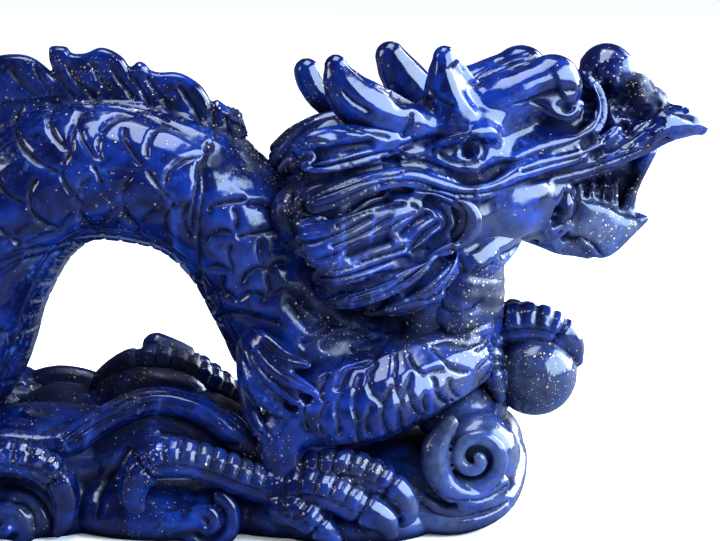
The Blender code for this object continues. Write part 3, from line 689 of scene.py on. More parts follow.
neckFlats = [
    (238, 112), (248, 122), (240, 132), (254, 134), (246, 144), (262, 146), (252, 158), (268, 158), (262, 170),
    (276, 170), (270, 182), (284, 184), (278, 196), (290, 198), (286, 210), (292, 224), (284, 146), (294, 158),
    (274, 134), (262, 126), (250, 108), (228, 104), (296, 240), (300, 256), (306, 272), (320, 290), (306, 302),
    (322, 314), (336, 328), (350, 336), (366, 330), (380, 338), (396, 330), (312, 322), (340, 310), (360, 318),
]
shoulderCuts = [
    [(298, 298), (316, 311), (338, 322)], [(308, 333), (328, 323), (352, 325)],
    [(286, 300), (300, 316), (312, 332)], [(320, 348), (338, 336), (358, 325)],
    [(345, 331), (364, 338), (382, 337)], [(366, 322), (384, 330), (404, 330)],
    [(352, 352), (362, 342), (376, 336)], [(300, 345), (316, 338), (330, 326)],
]


def neckFacets(points, normals):
    near = faces(points, normals) * (points[:, 1] < 2)
    gouged = cutLines(toPhoto(points), shoulderCuts, *body["shoulderCut"]) * near
    return flats(points, normals, neckFlats, *body["neckFlat"]) - gouged


def carveBody():
    tubes("coil", [coilLine], flat=body["depthShare"], steps=6, sides=10)
    fin()
    tailFlames()
    return finish("archedBody", fuse("archedBody"), [neckFacets, scaleCut, neckRelief, bodyLines])


# the head, laid out in a frame of its own: a runs to the nose, w to the near side and c up
head = {
    "turnDegrees": 18.0,  # it looks away from the scroll side by this much
    "pivotMm": (45.0, 0.0),
    "farEarForward": 6.0,
    "farEarDrop": 6.5,
    # how far a flat reaches in px, and how flat it gets
    "noseFlat": (13, 0.5),
    "jawFlat": (16, 0.6),
    "softPasses": 60,  # how often the soft places of the face are rubbed over
}


def placeHead():
    turn = Matrix.Rotation(math.radians(head["turnDegrees"]), 4, "Z")
    pivot = Matrix.Translation((head["pivotMm"][0] * mm, head["pivotMm"][1] * mm, 0))
    return pivot @ turn @ Matrix.Diagonal((1, -1, 1, 1))


headFrame = placeHead()


def skull():
    forms = [
        ((10, 0, 86), (21, 16.5, 10.5), 0), ((34, 0, 90), (20, 12.5, 9.5), 0), ((56, 0, 93), (16, 9, 8.5), 0),
        ((71, 0, 93), (11, 8.5, 6.5), -8), ((6, 0, 70), (23, 18, 18), 10),
    ]
    balls("skull", forms, headFrame)
    cheeks = [
        ((34, 10, 73), (18, 7.6, 10.5), -14), ((50, 8, 73), (8, 5.4, 9), -15), ((26, 11, 84), (14, 6.5, 8), 0),
        ((44, 9, 86), (16, 5.5, 6.5), -6), ((22, 12, 72), (12, 8, 11), 0),
    ]
    balls("cheeks", mirroredBalls(cheeks), headFrame)


def muzzle():
    lip = [
        (49, 11, 80, 2.2), (57, 10.8, 81.6, 2.6), (65, 10.4, 84.2, 3.3), (73, 10, 87.6, 4.2),
        (80.5, 9.4, 91.2, 4.8), (86.4, 8.9, 91, 3.8), (90.4, 8.6, 89.6, 2),
    ]
    tubes("lips", mirrored([lip]), flat=0.85, frame=headFrame)
    knob = [
        ((68.8, 0, 104), (6.6, 7.6, 6.4), 0), ((79, 0, 95), (6.5, 7.5, 4.4), 8), ((62, 0, 99), (5, 7, 4.5), 0),
    ]
    nostrils = [((73.6, 6.6, 99.0), (5.2, 4.4, 4.6), 20), ((78.5, 6.5, 96.5), (4, 3.6, 3), 10)]
    balls("nose", knob + mirroredBalls(nostrils), headFrame)
    fold = [
        (59.6, 6.6, 103.2, 2), (62.2, 8.4, 99.5, 2.1), (62.8, 9.6, 95.2, 2.1), (60.8, 11.2, 91.4, 1.9),
        (54.4, 13, 88.8, 1.5), (46.5, 14.2, 87.2, 1.3), (38, 15.4, 85.4, 1.1),
    ]
    tubes("noseFolds", mirrored([fold]), frame=headFrame)


def lowerJaw():
    chin = [
        (56, 66), (56.6, 73.4), (60.7, 73.8), (66, 72.2), (70.9, 69.8), (76.4, 68.6), (77.2, 67.4), (74.4, 64.4),
        (69.4, 60.2), (66.5, 58.6), (63.6, 58.4), (60, 61.8),
    ]
    heel = [
        (42, 66), (45, 63.2), (49.5, 61.6), (54, 59.6), (58, 58.8), (64, 58.6), (66, 64), (62, 70), (50, 73),
        (42, 72),
    ]
    slabs("chin", [(0, chin)], 9.2, 0.8, headFrame)
    slabs("jawHeel", [(0, heel)], 6.2, 1.0, headFrame)
    balls("jawCorner", mirroredBalls([((51, 8.5, 71), (6.5, 4.6, 7.5), 20)]), headFrame)


def teeth():
    lower = [[(a, 7, 71.4, 1.5), (a, 7.2, 76.4, 1.15)] for a in (55.6, 58.9, 62.2, 65.3, 68.2)]
    fang = [(77.6, 5.6, 84.4, 2.6), (75.4, 5.6, 79, 2), (73.6, 5.6, 74.4, 1.7), (72.6, 5.6, 69.6, 2)]
    tubes("teeth", mirrored(lower + [fang]), steps=2, frame=headFrame)
    inside = [(50, 68), (50, 86), (60, 87), (71, 90), (76, 86), (74, 79), (72, 73), (69.5, 69)]
    slabs("mouthInside", [(0, inside)], 4.4, 1.0, headFrame)


def brows():
    ridge = [
        (22, 11.6, 93.5, 4.4), (33, 11.2, 97.2, 5.4), (41, 10.8, 99.8, 6.2), (48, 10.4, 101.6, 6.5),
        (51.6, 10.2, 101.8, 6.2),
    ]
    tubes("browRidges", mirrored([ridge]), steps=5, frame=headFrame)
    swell = [((50, 10, 102.4), (7.4, 6.6, 7.0), -10), ((38, 8.6, 98), (14, 7.4, 7.4), -12)]
    balls("browSwells", mirroredBalls(swell), headFrame)
    lids = [
        [(45.2, 13.8, 98.4, 1), (48.6, 14.6, 95.8, 1.5), (52.6, 14.2, 94.6, 1.6), (56.6, 12.6, 97.4, 1)],
        [(18, 15.4, 89.2, 1.2), (22.5, 16.8, 91.4, 1.7), (29, 16.8, 92.6, 2.2), (33.5, 15.6, 91.6, 1.6),
         (36, 14.4, 90, 1)],
    ]
    tubes("lids", mirrored(lids), frame=headFrame)
    balls("eyes", mirroredBalls([((26.4, 13.4, 88.0), (6.0, 3.2, 3.6), 0)]), headFrame)


def horns():
    pairs = [
        [(20, 9, 92, 5), (11.4, 12.6, 95.4, 5.4), (7.5, 13.2, 96.9, 5.9), (2.5, 13.6, 99.2, 6.2),
         (-1.5, 13.8, 102.1, 5.7), (-4.1, 13.8, 106, 4.3), (-5, 13.6, 109, 2.8)],
        [(28, 8.6, 92, 8.2), (25.6, 9.4, 98, 7.8), (24.2, 10, 103, 6.4), (23.1, 10.6, 106.8, 4.6),
         (22.5, 11, 109.6, 3)],
        [(18, -12.6, 91, 5), (6.3, -14.5, 95, 4.6), (1.2, -15, 97.8, 4.2), (-1.8, -15.2, 100.8, 3.8),
         (-3.2, -15.4, 104.2, 3.4)],
        [(28, -8.6, 93, 7), (25, -10.5, 96, 6.8), (22, -11, 99.2, 6.2), (19, -11.2, 103.3, 5.4),
         (16.6, -11.2, 107.6, 3.9)],
    ]
    tubes("horns", pairs, steps=5, frame=headFrame)


def ears():
    leaves = [
        [(11, 15.4, 91.4, 2.4), (2, 17.4, 92.4, 3.4), (-5.4, 18.4, 92.8, 3.6), (-12, 19, 92.4, 3.2),
         (-15.6, 19, 91.8, 2)],
        [(9, 16.4, 89.6, 1.6), (1.5, 18.4, 89, 2.2), (-4.5, 19.4, 88, 2.4), (-10.5, 20, 87.2, 2.2),
         (-14.4, 20, 87.2, 1.5)],
    ]
    far = [[(a + head["farEarForward"], -w, c - head["farEarDrop"], r) for a, w, c, r in leaf] for leaf in leaves]
    tubes("ears", leaves + far, flat=0.8, frame=headFrame)


def whiskers():
    # the long raised band from the nose, under the eye, to the mane
    band = [
        (67, 10.4, 90, 1.7), (60, 12.2, 86.4, 1.9), (52, 13.8, 84.4, 1.9), (46, 15, 83.6, 2),
        (39.6, 16.4, 82.2, 2.4), (34.6, 17.2, 80.3, 2.6), (29.6, 17.8, 79, 2.7), (25.2, 18.2, 78.9, 2.7),
        (20.8, 18.8, 80.2, 2.6), (15.6, 19.4, 82.1, 2.5), (10, 20, 83.4, 2.4), (5, 20.6, 83.4, 2.5),
        (-1, 21, 82.2, 2.6), (-7, 21.4, 80.4, 2.7), (-12.6, 21.4, 78.4, 2.2),
    ]
    tubes("whiskers", mirrored([band]), steps=3, frame=headFrame)


def mane():
    # two comma-shaped swirls of locks on each cheek and one sweep along the crown
    locks = [
        [(21, 18.5, 78.2, 1.5), (8, 20.8, 77.4, 2), (-2, 21.4, 76, 2.1), (-10, 21.2, 74.8, 1.9),
         (-16, 20.6, 74, 1.2)],
        [(20, 19, 76.2, 1.4), (10, 21.4, 74.6, 1.9), (0, 21.8, 73, 2.1), (-9, 21.4, 71.6, 1.9),
         (-16.4, 20.8, 70.8, 1.2)],
        [(19, 19.5, 74.4, 1.4), (7, 22, 72, 2.1), (-3, 22.2, 69.8, 2.2), (-11.5, 21.6, 68.2, 1.9),
         (-16.6, 21, 67.6, 1.2)],
        [(19, 20, 72.6, 1.3), (10, 22.4, 69.6, 1.9), (0, 22.6, 67, 2.1), (-9, 21.8, 65.6, 1.9),
         (-14, 21, 65, 1.2)],
        [(22, 20, 71, 1.4), (11, 22.6, 66.2, 2.2), (1, 22.8, 63, 2.6), (-7, 22, 61.6, 2.5),
         (-11.6, 21.4, 61.4, 2)],
        [(22, 19.6, 68, 1.4), (12.5, 22, 62, 2.2), (3.5, 21.8, 57.6, 2.5), (-4, 20.8, 55.4, 2.2),
         (-8.8, 20, 54.6, 1.3)],
        [(24, 19, 64, 1.5), (17.5, 20.4, 58.4, 2.1), (10, 20.2, 54.8, 2.3), (4.5, 19.2, 52.6, 2),
         (1.2, 18.4, 51.6, 1.2)],
        [(26.5, 18, 62, 1.5), (21, 19, 57, 2.1), (13, 18.6, 53.2, 2.2), (7.5, 17.4, 51, 1.5)],
        [(12, 19.6, 80.2, 1.4), (18.3, 19.6, 79, 1.8), (24.5, 19.6, 76, 2.1), (27, 19.4, 72.2, 2.3),
         (24, 20, 67.8, 2.1), (16, 21.6, 65.2, 1.6)],
        [(29, 13.5, 64, 2.2), (27, 15.6, 60.4, 2.4), (23.5, 16.8, 56.5, 2.4), (17, 16, 53, 1.8)],
    ]
    crown = bundle(
        [(14, 12.5, 92, 2.4), (3, 14, 92.4, 2.9), (-6, 14.5, 89.6, 2.8), (-12, 14, 86.4, 1.8)],
        [(14, 3, 93.4, 2.4), (0, 4, 93.6, 3), (-8, 4.5, 90.4, 2.9), (-15, 4.5, 84, 1.8)], 3,
    )
    # each lock rises out of the cheek towards its tip
    sunk = [[(a, w - 2.8 * min(1, max(0, (a + 4) / 8)), c, r) for a, w, c, r in lock] for lock in locks[:5]]
    jowl = [
        (38, 9, 66, 5.5), (31, 12.6, 62.5, 6.5), (24, 14.6, 60.5, 6.5), (17, 15.8, 57.5, 5.6),
        (11, 16.4, 55, 4.2), (4, 16.6, 52.6, 2.4),
    ]
    locks = sunk + locks[5:] + [jowl]
    tubes("mane", mirrored(locks + crown), steps=4, frame=headFrame)
    backing = [
        ((5, 10, 72.5), (25, 12.2, 12.5), 6), ((7, 10, 64), (23, 11.8, 12), 22),
        ((9, 10, 61), (20, 12, 9.5), -14), ((0, 8, 86), (14, 9, 6.5), 0), ((20, 9, 62), (15, 8.5, 9.5), -28),
    ]
    balls("maneBacking", mirroredBalls(backing), headFrame)


# sets of lines on the head, each with the width and depth of its cut in mm
headLines = {
    # long grooves of the snout, the fold behind the nose and the band under the eye
    "snout": (0.75, 1.15, [
        [(602, 80), (606, 95), (607, 112), (601, 128), (590, 137), (570, 144), (545, 151), (520, 158), (500, 165),
         (482, 176)], [(656, 117), (645, 127), (630, 140), (605, 152), (580, 159), (550, 164), (520, 170)],
        [(672, 139), (655, 147), (640, 152), (615, 161), (590, 169), (565, 174), (540, 178), (520, 185),
         (500, 192), (478, 195)],
        [(478, 195), (455, 196), (438, 192), (420, 186), (400, 184), (380, 186), (362, 194), (345, 203),
         (328, 211), (312, 213)],
        [(505, 166), (490, 176), (470, 180), (452, 174), (436, 166), (418, 161), (400, 162), (375, 168),
         (350, 173), (325, 177)], [(404, 172), (380, 175), (360, 178), (342, 184), (325, 190), (306, 197)],
        [(610, 110), (625, 114), (640, 117), (654, 112), (662, 102)],
        [(583, 82), (589, 92), (593, 103), (589, 112), (586, 120)], [(604, 133), (608, 143), (606, 146)],
        [(622, 121), (625, 129), (628, 135)], [(663, 104), (672, 110), (684, 116), (697, 121)],
    ]),
    "lids": (0.6, 0.85, [
        [(430, 155), (440, 147), (449, 141), (459, 137), (470, 136), (479, 139), (485, 147), (485, 155),
         (481, 162)], [(439, 152), (447, 158), (458, 162), (470, 163), (482, 161)],
        [(398, 149), (410, 144), (424, 141), (440, 136), (456, 131), (470, 130)],
        [(396, 149), (404, 156), (416, 158), (428, 155)],
        [(578, 90), (562, 92), (545, 97), (530, 104), (515, 106)],
        [(535, 103), (543, 111), (556, 118), (570, 120), (580, 114), (583, 104)],
    ]),
    "horns": (0.7, 0.9, [
        [(414, 112), (411, 125), (402, 138)], [(390, 92), (404, 98), (420, 100), (436, 97)],
        [(424, 82), (430, 92), (441, 101), (455, 107)],
        [(323, 88), (330, 104), (345, 119), (368, 130), (392, 138)],
        [(305, 100), (322, 103), (334, 112), (346, 124), (366, 134)], [(340, 88), (352, 100), (372, 112)],
    ]),
    # the soft valley from the horn round under the brow
    "valleys": (3.0, 2.0, [
        [(457, 60), (469, 80), (480, 98), (497, 110), (515, 111), (532, 105), (548, 97), (564, 90)],
    ]),
    # broad gouges between the locks
    "gouges": (1.25, 2.3, [
        [(390, 188), (408, 187), (425, 190), (441, 196), (458, 199)],
        [(424, 201), (437, 205), (446, 213), (449, 223), (446, 232), (436, 240), (424, 248), (413, 256)],
        [(300, 223), (320, 219), (340, 214), (358, 206), (375, 200), (393, 196)],
        [(462, 253), (465, 264), (463, 278), (456, 289), (447, 297)],
        [(307, 262), (309, 270), (315, 276), (330, 279), (346, 277), (366, 270), (386, 264), (410, 259),
         (432, 257), (456, 255)],
        [(321, 306), (334, 314), (350, 316), (363, 314), (374, 306), (386, 299), (400, 288), (416, 274),
         (431, 264), (446, 257)], [(300, 161), (315, 157), (340, 150), (356, 147), (376, 144)],
        [(304, 168), (325, 169), (345, 166), (362, 161), (382, 158), (402, 160)],
        [(290, 188), (286, 214), (290, 240), (297, 258), (303, 276)],
        [(455, 204), (460, 217), (458, 229), (450, 240)], [(402, 239), (412, 227), (424, 217), (434, 212)],
        [(412, 256), (415, 247), (425, 238), (437, 228), (444, 222)],
        [(346, 259), (362, 252), (378, 244), (393, 238)], [(371, 313), (379, 304), (389, 299)],
        [(302, 196), (302, 207), (311, 213), (325, 213), (340, 209), (356, 201), (371, 194), (386, 189)],
        [(402, 295), (418, 284), (430, 273), (440, 263), (448, 257)],
    ]),
    # the grooves that part each lock into strands
    "strands": (0.5, 0.95, [
        [(311, 262), (325, 258), (340, 253), (352, 246), (364, 240)],
        [(330, 247), (352, 238), (372, 228), (392, 216)], [(372, 237), (388, 229), (404, 219)],
        [(330, 271), (350, 267), (372, 259), (392, 252), (408, 246)],
        [(360, 262), (385, 255), (405, 248), (420, 239), (437, 225)],
        [(335, 227), (355, 218), (372, 211), (392, 204), (406, 203)],
        [(297, 244), (318, 241), (335, 235), (352, 227), (373, 216)],
        [(393, 224), (405, 219), (415, 214), (418, 208), (410, 203)], [(394, 234), (405, 225), (418, 218)],
        [(420, 254), (432, 244), (444, 232)],
        [(322, 304), (335, 297), (350, 291), (365, 287), (380, 282), (396, 276)],
        [(345, 297), (365, 291), (382, 287), (398, 280), (415, 269)],
        [(352, 283), (372, 277), (395, 270), (415, 263), (436, 259)],
        [(350, 305), (372, 299), (392, 290), (408, 278), (425, 267), (440, 259)],
        [(372, 315), (380, 320), (395, 318), (412, 314), (428, 308), (441, 302), (453, 294), (466, 284),
         (481, 273), (496, 262)], [(395, 301), (412, 291), (428, 279), (440, 267), (448, 258)],
        [(408, 304), (425, 295), (440, 282), (450, 269), (455, 258)],
        [(425, 303), (440, 294), (452, 281), (459, 267)], [(390, 311), (408, 306), (424, 300)],
        [(467, 284), (474, 275), (478, 264)], [(460, 256), (470, 252), (481, 246)],
        [(304, 132), (296, 137), (290, 143), (290, 150), (295, 157), (302, 161)],
        [(305, 143), (322, 141), (331, 144), (350, 143), (371, 141)], [(298, 155), (320, 152), (340, 147)],
        [(303, 139), (296, 144), (298, 151)],
        [(308, 161), (320, 165), (335, 165), (355, 161), (372, 157), (388, 155)],
        [(308, 196), (330, 191), (347, 184), (360, 180), (382, 178)],
        [(268, 143), (284, 131), (302, 122), (320, 118)], [(270, 132), (286, 118), (304, 109)],
    ]),
    "jaw": (0.8, 1.6, [
        [(583, 200), (597, 201), (612, 207), (624, 213), (640, 216)], [(592, 184), (593, 198)],
        [(600, 184), (601, 199)], [(608, 183), (609, 202)], [(616, 181), (618, 205)],
        [(572, 190), (580, 201), (579, 214), (570, 225), (552, 231)], [(569, 190), (563, 207), (553, 224)],
        [(560, 237), (580, 240), (592, 244), (599, 252), (603, 262)],
        [(500, 257), (512, 252), (524, 246), (540, 243)],
    ]),
    "browHair": (0.5, 0.8, [
        [(474, 80), (488, 68), (510, 58), (532, 54)], [(476, 82), (494, 72), (516, 63), (540, 58)],
        [(480, 84), (500, 77), (522, 69), (546, 61)], [(488, 85), (510, 81), (530, 74), (550, 64)],
    ]),
}
# hollows: px x, px y, radius in px, depth in mm; a negative depth is a lump
headHollows = [
    (470, 149, 7.5, 3), (454, 151, 6, 0.7), (440, 165, 18, 0.7), (465, 170, 16, 0.7), (490, 167, 12, 0.7),
    (621, 98, 7, 2.2), (632, 98, 6, 1.4), (588, 96, 5, 2.4), (589, 106, 3.5, 1.4), (631, 178, 8, 2.2),
    (616, 180, 7, 1.8), (601, 183, 6, 2), (588, 187, 5, 1.4), (456, 216, 7, 0.9), (384, 190, 10, 0.6),
    (470, 272, 6, 0.6), (322, 219, 9, 0.6), (562, 212, 4.5, 3), (558, 222, 4, 2), (494, 131, 13, -0.8),
    (432, 146, 6, 0.8), (404, 100, 8, 1), (335, 133, 12, 0.8), (300, 172, 12, 1.2), (300, 214, 9, 0.8),
    (345, 172, 9, 0.8), (600, 66, 6, -0.6), (626, 60, 6, -0.7), (614, 84, 5, -0.7), (638, 84, 6, -0.8),
    (628, 106, 5, 0.9), (646, 104, 5, -0.6), (604, 90, 4, 0.7), (520, 128, 16, 0.5), (467, 225, 14, -0.7),
    (520, 215, 30, -0.5),
]

# places where the head is chiselled into small flats: each is the middle of one
noseFlats = [
    (600, 92), (612, 88), (628, 84), (641, 79), (650, 88), (640, 96), (655, 101), (668, 96), (662, 108),
    (648, 112), (676, 108), (672, 122), (658, 124), (634, 108), (618, 104), (606, 108), (640, 124), (624, 122),
    (610, 126), (626, 138), (644, 136), (664, 134), (609, 141), (593, 148), (646, 68),
]
jawFlats = [(612, 226), (560, 238), (574, 247), (590, 253), (540, 246)]
softZones = [
    (476, 92, 14), (500, 94, 17), (525, 94, 16), (550, 82, 16), (566, 80, 13), (530, 130, 20), (560, 130, 14),
    (507, 146, 12), (496, 132, 13), (480, 128, 8), (530, 226, 22), (500, 238, 24), (560, 204, 8), (613, 62, 16),
    (600, 226, 16), (622, 222, 14), (596, 244, 10), (520, 200, 16), (480, 235, 10), (410, 128, 12),
    (440, 122, 10),
]


def headPlaces(points):
    # the head's own frame, in mm
    turn = math.radians(head["turnDegrees"])
    x, y = points[:, 0] - head["pivotMm"][0], points[:, 1] - head["pivotMm"][1]
    return x * math.cos(turn) + y * math.sin(turn), x * math.sin(turn) - y * math.cos(turn)


def foldOver(points, normals):
    # carries the far half of the head over to the near half, so both are carved alike
    turn = math.radians(head["turnDegrees"])
    across = np.array((math.sin(turn), -math.cos(turn), 0.0))
    w = headPlaces(points)[1]
    shift = np.where(w < 0, -2 * w, 0)[:, None] * across
    swap = np.where(w < 0, -2 * (normals @ across), 0)[:, None] * across
    return points + shift, normals + swap


def headCut(points, normals):
    folded, foldedNormals = foldOver(points, normals)
    places = toPhoto(folded)
    turned = faces(folded, foldedNormals)
    depth = np.zeros(len(points))
    for name, (wide, deep, lines) in headLines.items():
        if name == "browHair":
            cut = cutLines(toPhoto(points), lines, wide, deep) * faces(points, normals)
            depth = np.maximum(depth, cut * (headPlaces(points)[1] < 0))
            continue
        cut = cutLines(places, lines, wide, deep, rounded=name == "valleys") * turned
        depth = depth + cut if name == "valleys" else np.maximum(depth, cut)
    chisel = flats(folded, foldedNormals, noseFlats, *head["noseFlat"])
    chisel += flats(folded, foldedNormals, jawFlats, *head["jawFlat"])
    return chisel - depth - pits(places, headHollows) * turned


def carveHead():
    for layOut in (skull, muzzle, lowerJaw, teeth, brows, horns, whiskers):
        layOut()
    data = fuse("dragonHead")
    soften(data, softZones, head["softPasses"])
    return finish("dragonHead", data, [headCut])


def carveMane():
    mane()
    ears()
    return finish("mane", fuse("mane"), [headCut])


# the throat, the two fore limbs and the two hind limbs
limb = {
    "scaleRowMm": 4.3,
    "scaleColumns": 9,
    "scaledRadiusMm": 8.5,
    "scaleShare": 0.65,  # how deep its scales are beside the body's
    "scaleBevelMm": 1.5,
    # width and depth of the cuts in mm
    "lineCut": (0.55, 0.95),
    "scaleCut": (0.4, 0.8),
    "farCut": (0.55, 0.8),
}

limbPaths = [
    [(74, -9, 38, 8), (64, -16, 35.6, 10), (55, -20, 33, 11), (45, -21.5, 30.4, 11), (37, -22.5, 26.5, 9.6),
     (32.5, -24, 21.5, 7), (33, -26, 13, 5.6)],
    [(62, 8, 40, 12), (50, 18, 37, 11), (43, 23, 33, 9.4), (54, 24.5, 30.5, 8.4), (67, 22.5, 34, 7.6),
     (76, 17, 39, 6.6), (81, 11, 41.5, 5.6)],
    [(-74, -6, 27, 13), (-66, -16, 30, 11.5), (-57, -21, 25, 9), (-54, -24, 15, 6.8), (-50, -26, 11, 5.8)],
    [(-56, 8, 27, 14), (-44, 17, 22, 11), (-26, 24, 17, 8.8), (-6, 27, 14.5, 7), (12, 27.5, 12, 6),
     (22, 27, 11, 5.4)],
]


def throat():
    # overlapping plates round the front of the neck
    plates = []
    stack = [
        (73, 60), (73.3, 56.6), (73.5, 53.5), (73.5, 50.2), (73.4, 47), (73, 43.6), (72.4, 40.4), (71.4, 37.2),
        (70, 34),
    ]
    for k, (x, z) in enumerate(stack):
        reach = 11.6 - 0.2 * k
        arc = []
        for turn in (-130, -90, -45, 0, 45, 90):
            angle = math.radians(turn)
            forward = reach * math.cos(angle) * 0.72
            side = (1.35 - 0.02 * max(0, z - 40)) * reach * math.sin(angle)
            arc.append((x + forward, 4 + side, z - 2 * math.cos(angle), 3.8))
        plates.append(arc)
    tubes("throatPlates", plates, steps=3)


def elbowFlames():
    # fringes of hair that sweep over each elbow and knee
    fringe = [
        [(24.6, -20, 48, 1.2), (28, -24, 46.8, 1.9), (32.6, -27, 43.4, 2.1), (38, -29, 42, 1.1)],
        [(24, -20, 47, 1.2), (26.6, -24, 44.6, 2.1), (32, -28, 39.6, 2.3), (40.4, -30.5, 35.6, 1.1)],
        [(23.2, -20, 46, 1.2), (25.4, -24, 42.4, 2.1), (29.8, -28, 37, 2.3), (37.6, -31, 32.6, 1.1)],
        [(22.6, -19, 45, 1.2), (24.2, -23, 39.4, 2.1), (28, -27, 33.4, 2.3), (35.4, -30, 29.4, 1.1)],
        [(22, -18, 43, 1.2), (23.4, -22, 35, 2), (26, -26, 27, 2.2), (30.6, -28, 21, 1.2)],
    ]
    hind = bundle(
        [(-80, -17, 42, 1.2), (-72, -21, 39, 2.4), (-64, -25, 35, 2.4), (-58, -26, 32, 1.3)],
        [(-80, -17, 35, 1.2), (-74, -22, 27, 2.4), (-66, -25, 20, 2.4), (-59, -26, 16, 1.3)], 4,
    )
    far = [[(x + 7, -y, z, r) for x, y, z, r in lock] for lock in fringe]
    tubes("elbowFlames", fringe + hind + far, steps=3)


limbLines = [
    [(262, 340), (272, 350), (286, 358), (316, 362)], [(256, 346), (266, 359), (284, 373), (318, 391)],
    [(250, 351), (262, 370), (280, 386), (301, 401)], [(245, 347), (257, 375), (275, 396), (298, 411)],
    [(266, 331), (282, 323), (302, 329)], [(318, 326), (336, 336), (350, 354)],
    [(322, 361), (335, 352), (349, 345)],
    [(430, 345), (437, 352), (445, 360), (450, 367), (460, 371), (471, 372)],
    [(450, 399), (457, 405), (468, 405), (477, 397)], [(376, 342), (362, 347), (352, 356)],
    [(306, 449), (330, 449), (360, 447), (382, 443), (402, 437), (416, 428), (424, 418)],
    [(436, 302), (450, 312), (468, 310), (484, 300)], [(432, 322), (446, 332), (466, 332), (490, 322)],
    [(430, 345), (448, 340), (470, 344), (488, 338)],
]
armScales = [
    [(385, 345), (378, 352), (371, 363), (360, 366), (352, 367), (347, 374), (343, 382), (338, 392)],
    [(378, 362), (371, 372), (370, 383), (373, 393), (380, 400), (388, 409)],
    [(363, 375), (358, 385), (356, 395), (355, 405), (357, 415), (361, 423)],
    [(395, 350), (396, 362), (395, 374), (396, 386), (400, 399), (405, 410)],
    [(396, 385), (389, 395), (385, 402), (384, 412), (385, 422), (391, 436)],
    [(413, 370), (411, 382), (407, 393), (402, 402), (401, 412), (402, 422), (405, 434)],
    [(409, 353), (412, 361), (417, 369), (424, 373), (436, 370), (447, 368)],
    [(410, 391), (411, 400), (415, 408), (421, 415), (429, 416)],
    [(431, 374), (436, 382), (437, 391), (442, 400), (450, 404)],
    [(421, 414), (416, 424), (411, 431), (404, 438)],
    [(345, 392), (339, 401), (337, 411), (340, 425), (341, 438)],
    [(374, 404), (370, 413), (367, 424), (370, 436)], [(330, 400), (322, 412), (320, 424), (324, 436)],
    [(361, 422), (358, 432), (360, 443)], [(428, 393), (425, 404), (429, 414)],
    [(450, 404), (446, 412), (438, 418)], [(452, 378), (452, 388), (458, 397), (466, 401)],
    [(330, 372), (324, 382), (322, 394), (326, 404)], [(310, 396), (305, 408), (305, 420), (310, 432)],
    [(352, 345), (345, 353), (340, 362), (332, 368)],
]
farLimbLines = [
    [(478, 372), (492, 358), (506, 352)], [(480, 385), (496, 372), (509, 366)],
    [(474, 352), (490, 342), (504, 338)],
]


def limbCut(points, normals):
    places = toPhoto(points)
    turned = faces(points, normals)
    near = turned * (points[:, 1] < 4)
    drawn = cutLines(places, limbLines, *limb["lineCut"]) * near
    drawn = np.maximum(drawn, cutLines(places, armScales, *limb["scaleCut"], slope=limb["scaleBevelMm"]) * near)
    drawn = np.maximum(drawn, cutLines(places, farLimbLines, *limb["farCut"]) * turned)
    height = np.zeros(len(points))
    for path in limbPaths:
        run, off, along, radius, distance, length = followPath(points, path, 6)
        angle = np.degrees(np.arctan2(off[:, 1], off[:, 2]))
        onSkin = (distance < radius * 1.18) & (run > 6) & (run < length - 5)
        relief = scaleRelief(-run, angle, limb["scaleRowMm"], limb["scaleColumns"], limb["scaledRadiusMm"])
        height = np.where(onSkin & (height == 0), relief * limb["scaleShare"], height)
    # the near fore limb is drawn, so the rows stay off it
    return height * (1 - near * (points[:, 0] > 20)) - drawn


def carveLimbs():
    tubes("limbs", limbPaths, steps=5)
    throat()
    elbowFlames()
    return finish("limbs", fuse("limbs"), [limbCut])


# the toes with their ribs and claws, and the pearl that one foot holds
toe = {
    "ribMm": 3.3,
    "ribDepthMm": 0.6,
    "bandDepthMm": 0.6,  # the groove along a toe's side
    "collarDepthMm": 0.9,  # the groove before its claw
    "clawShare": 0.3,  # of a toe's length, left smooth and pointed
    "pearlCentreMm": (92.6, 4.0, 31.6),
    "pearlRadiusMm": 10.4,
}

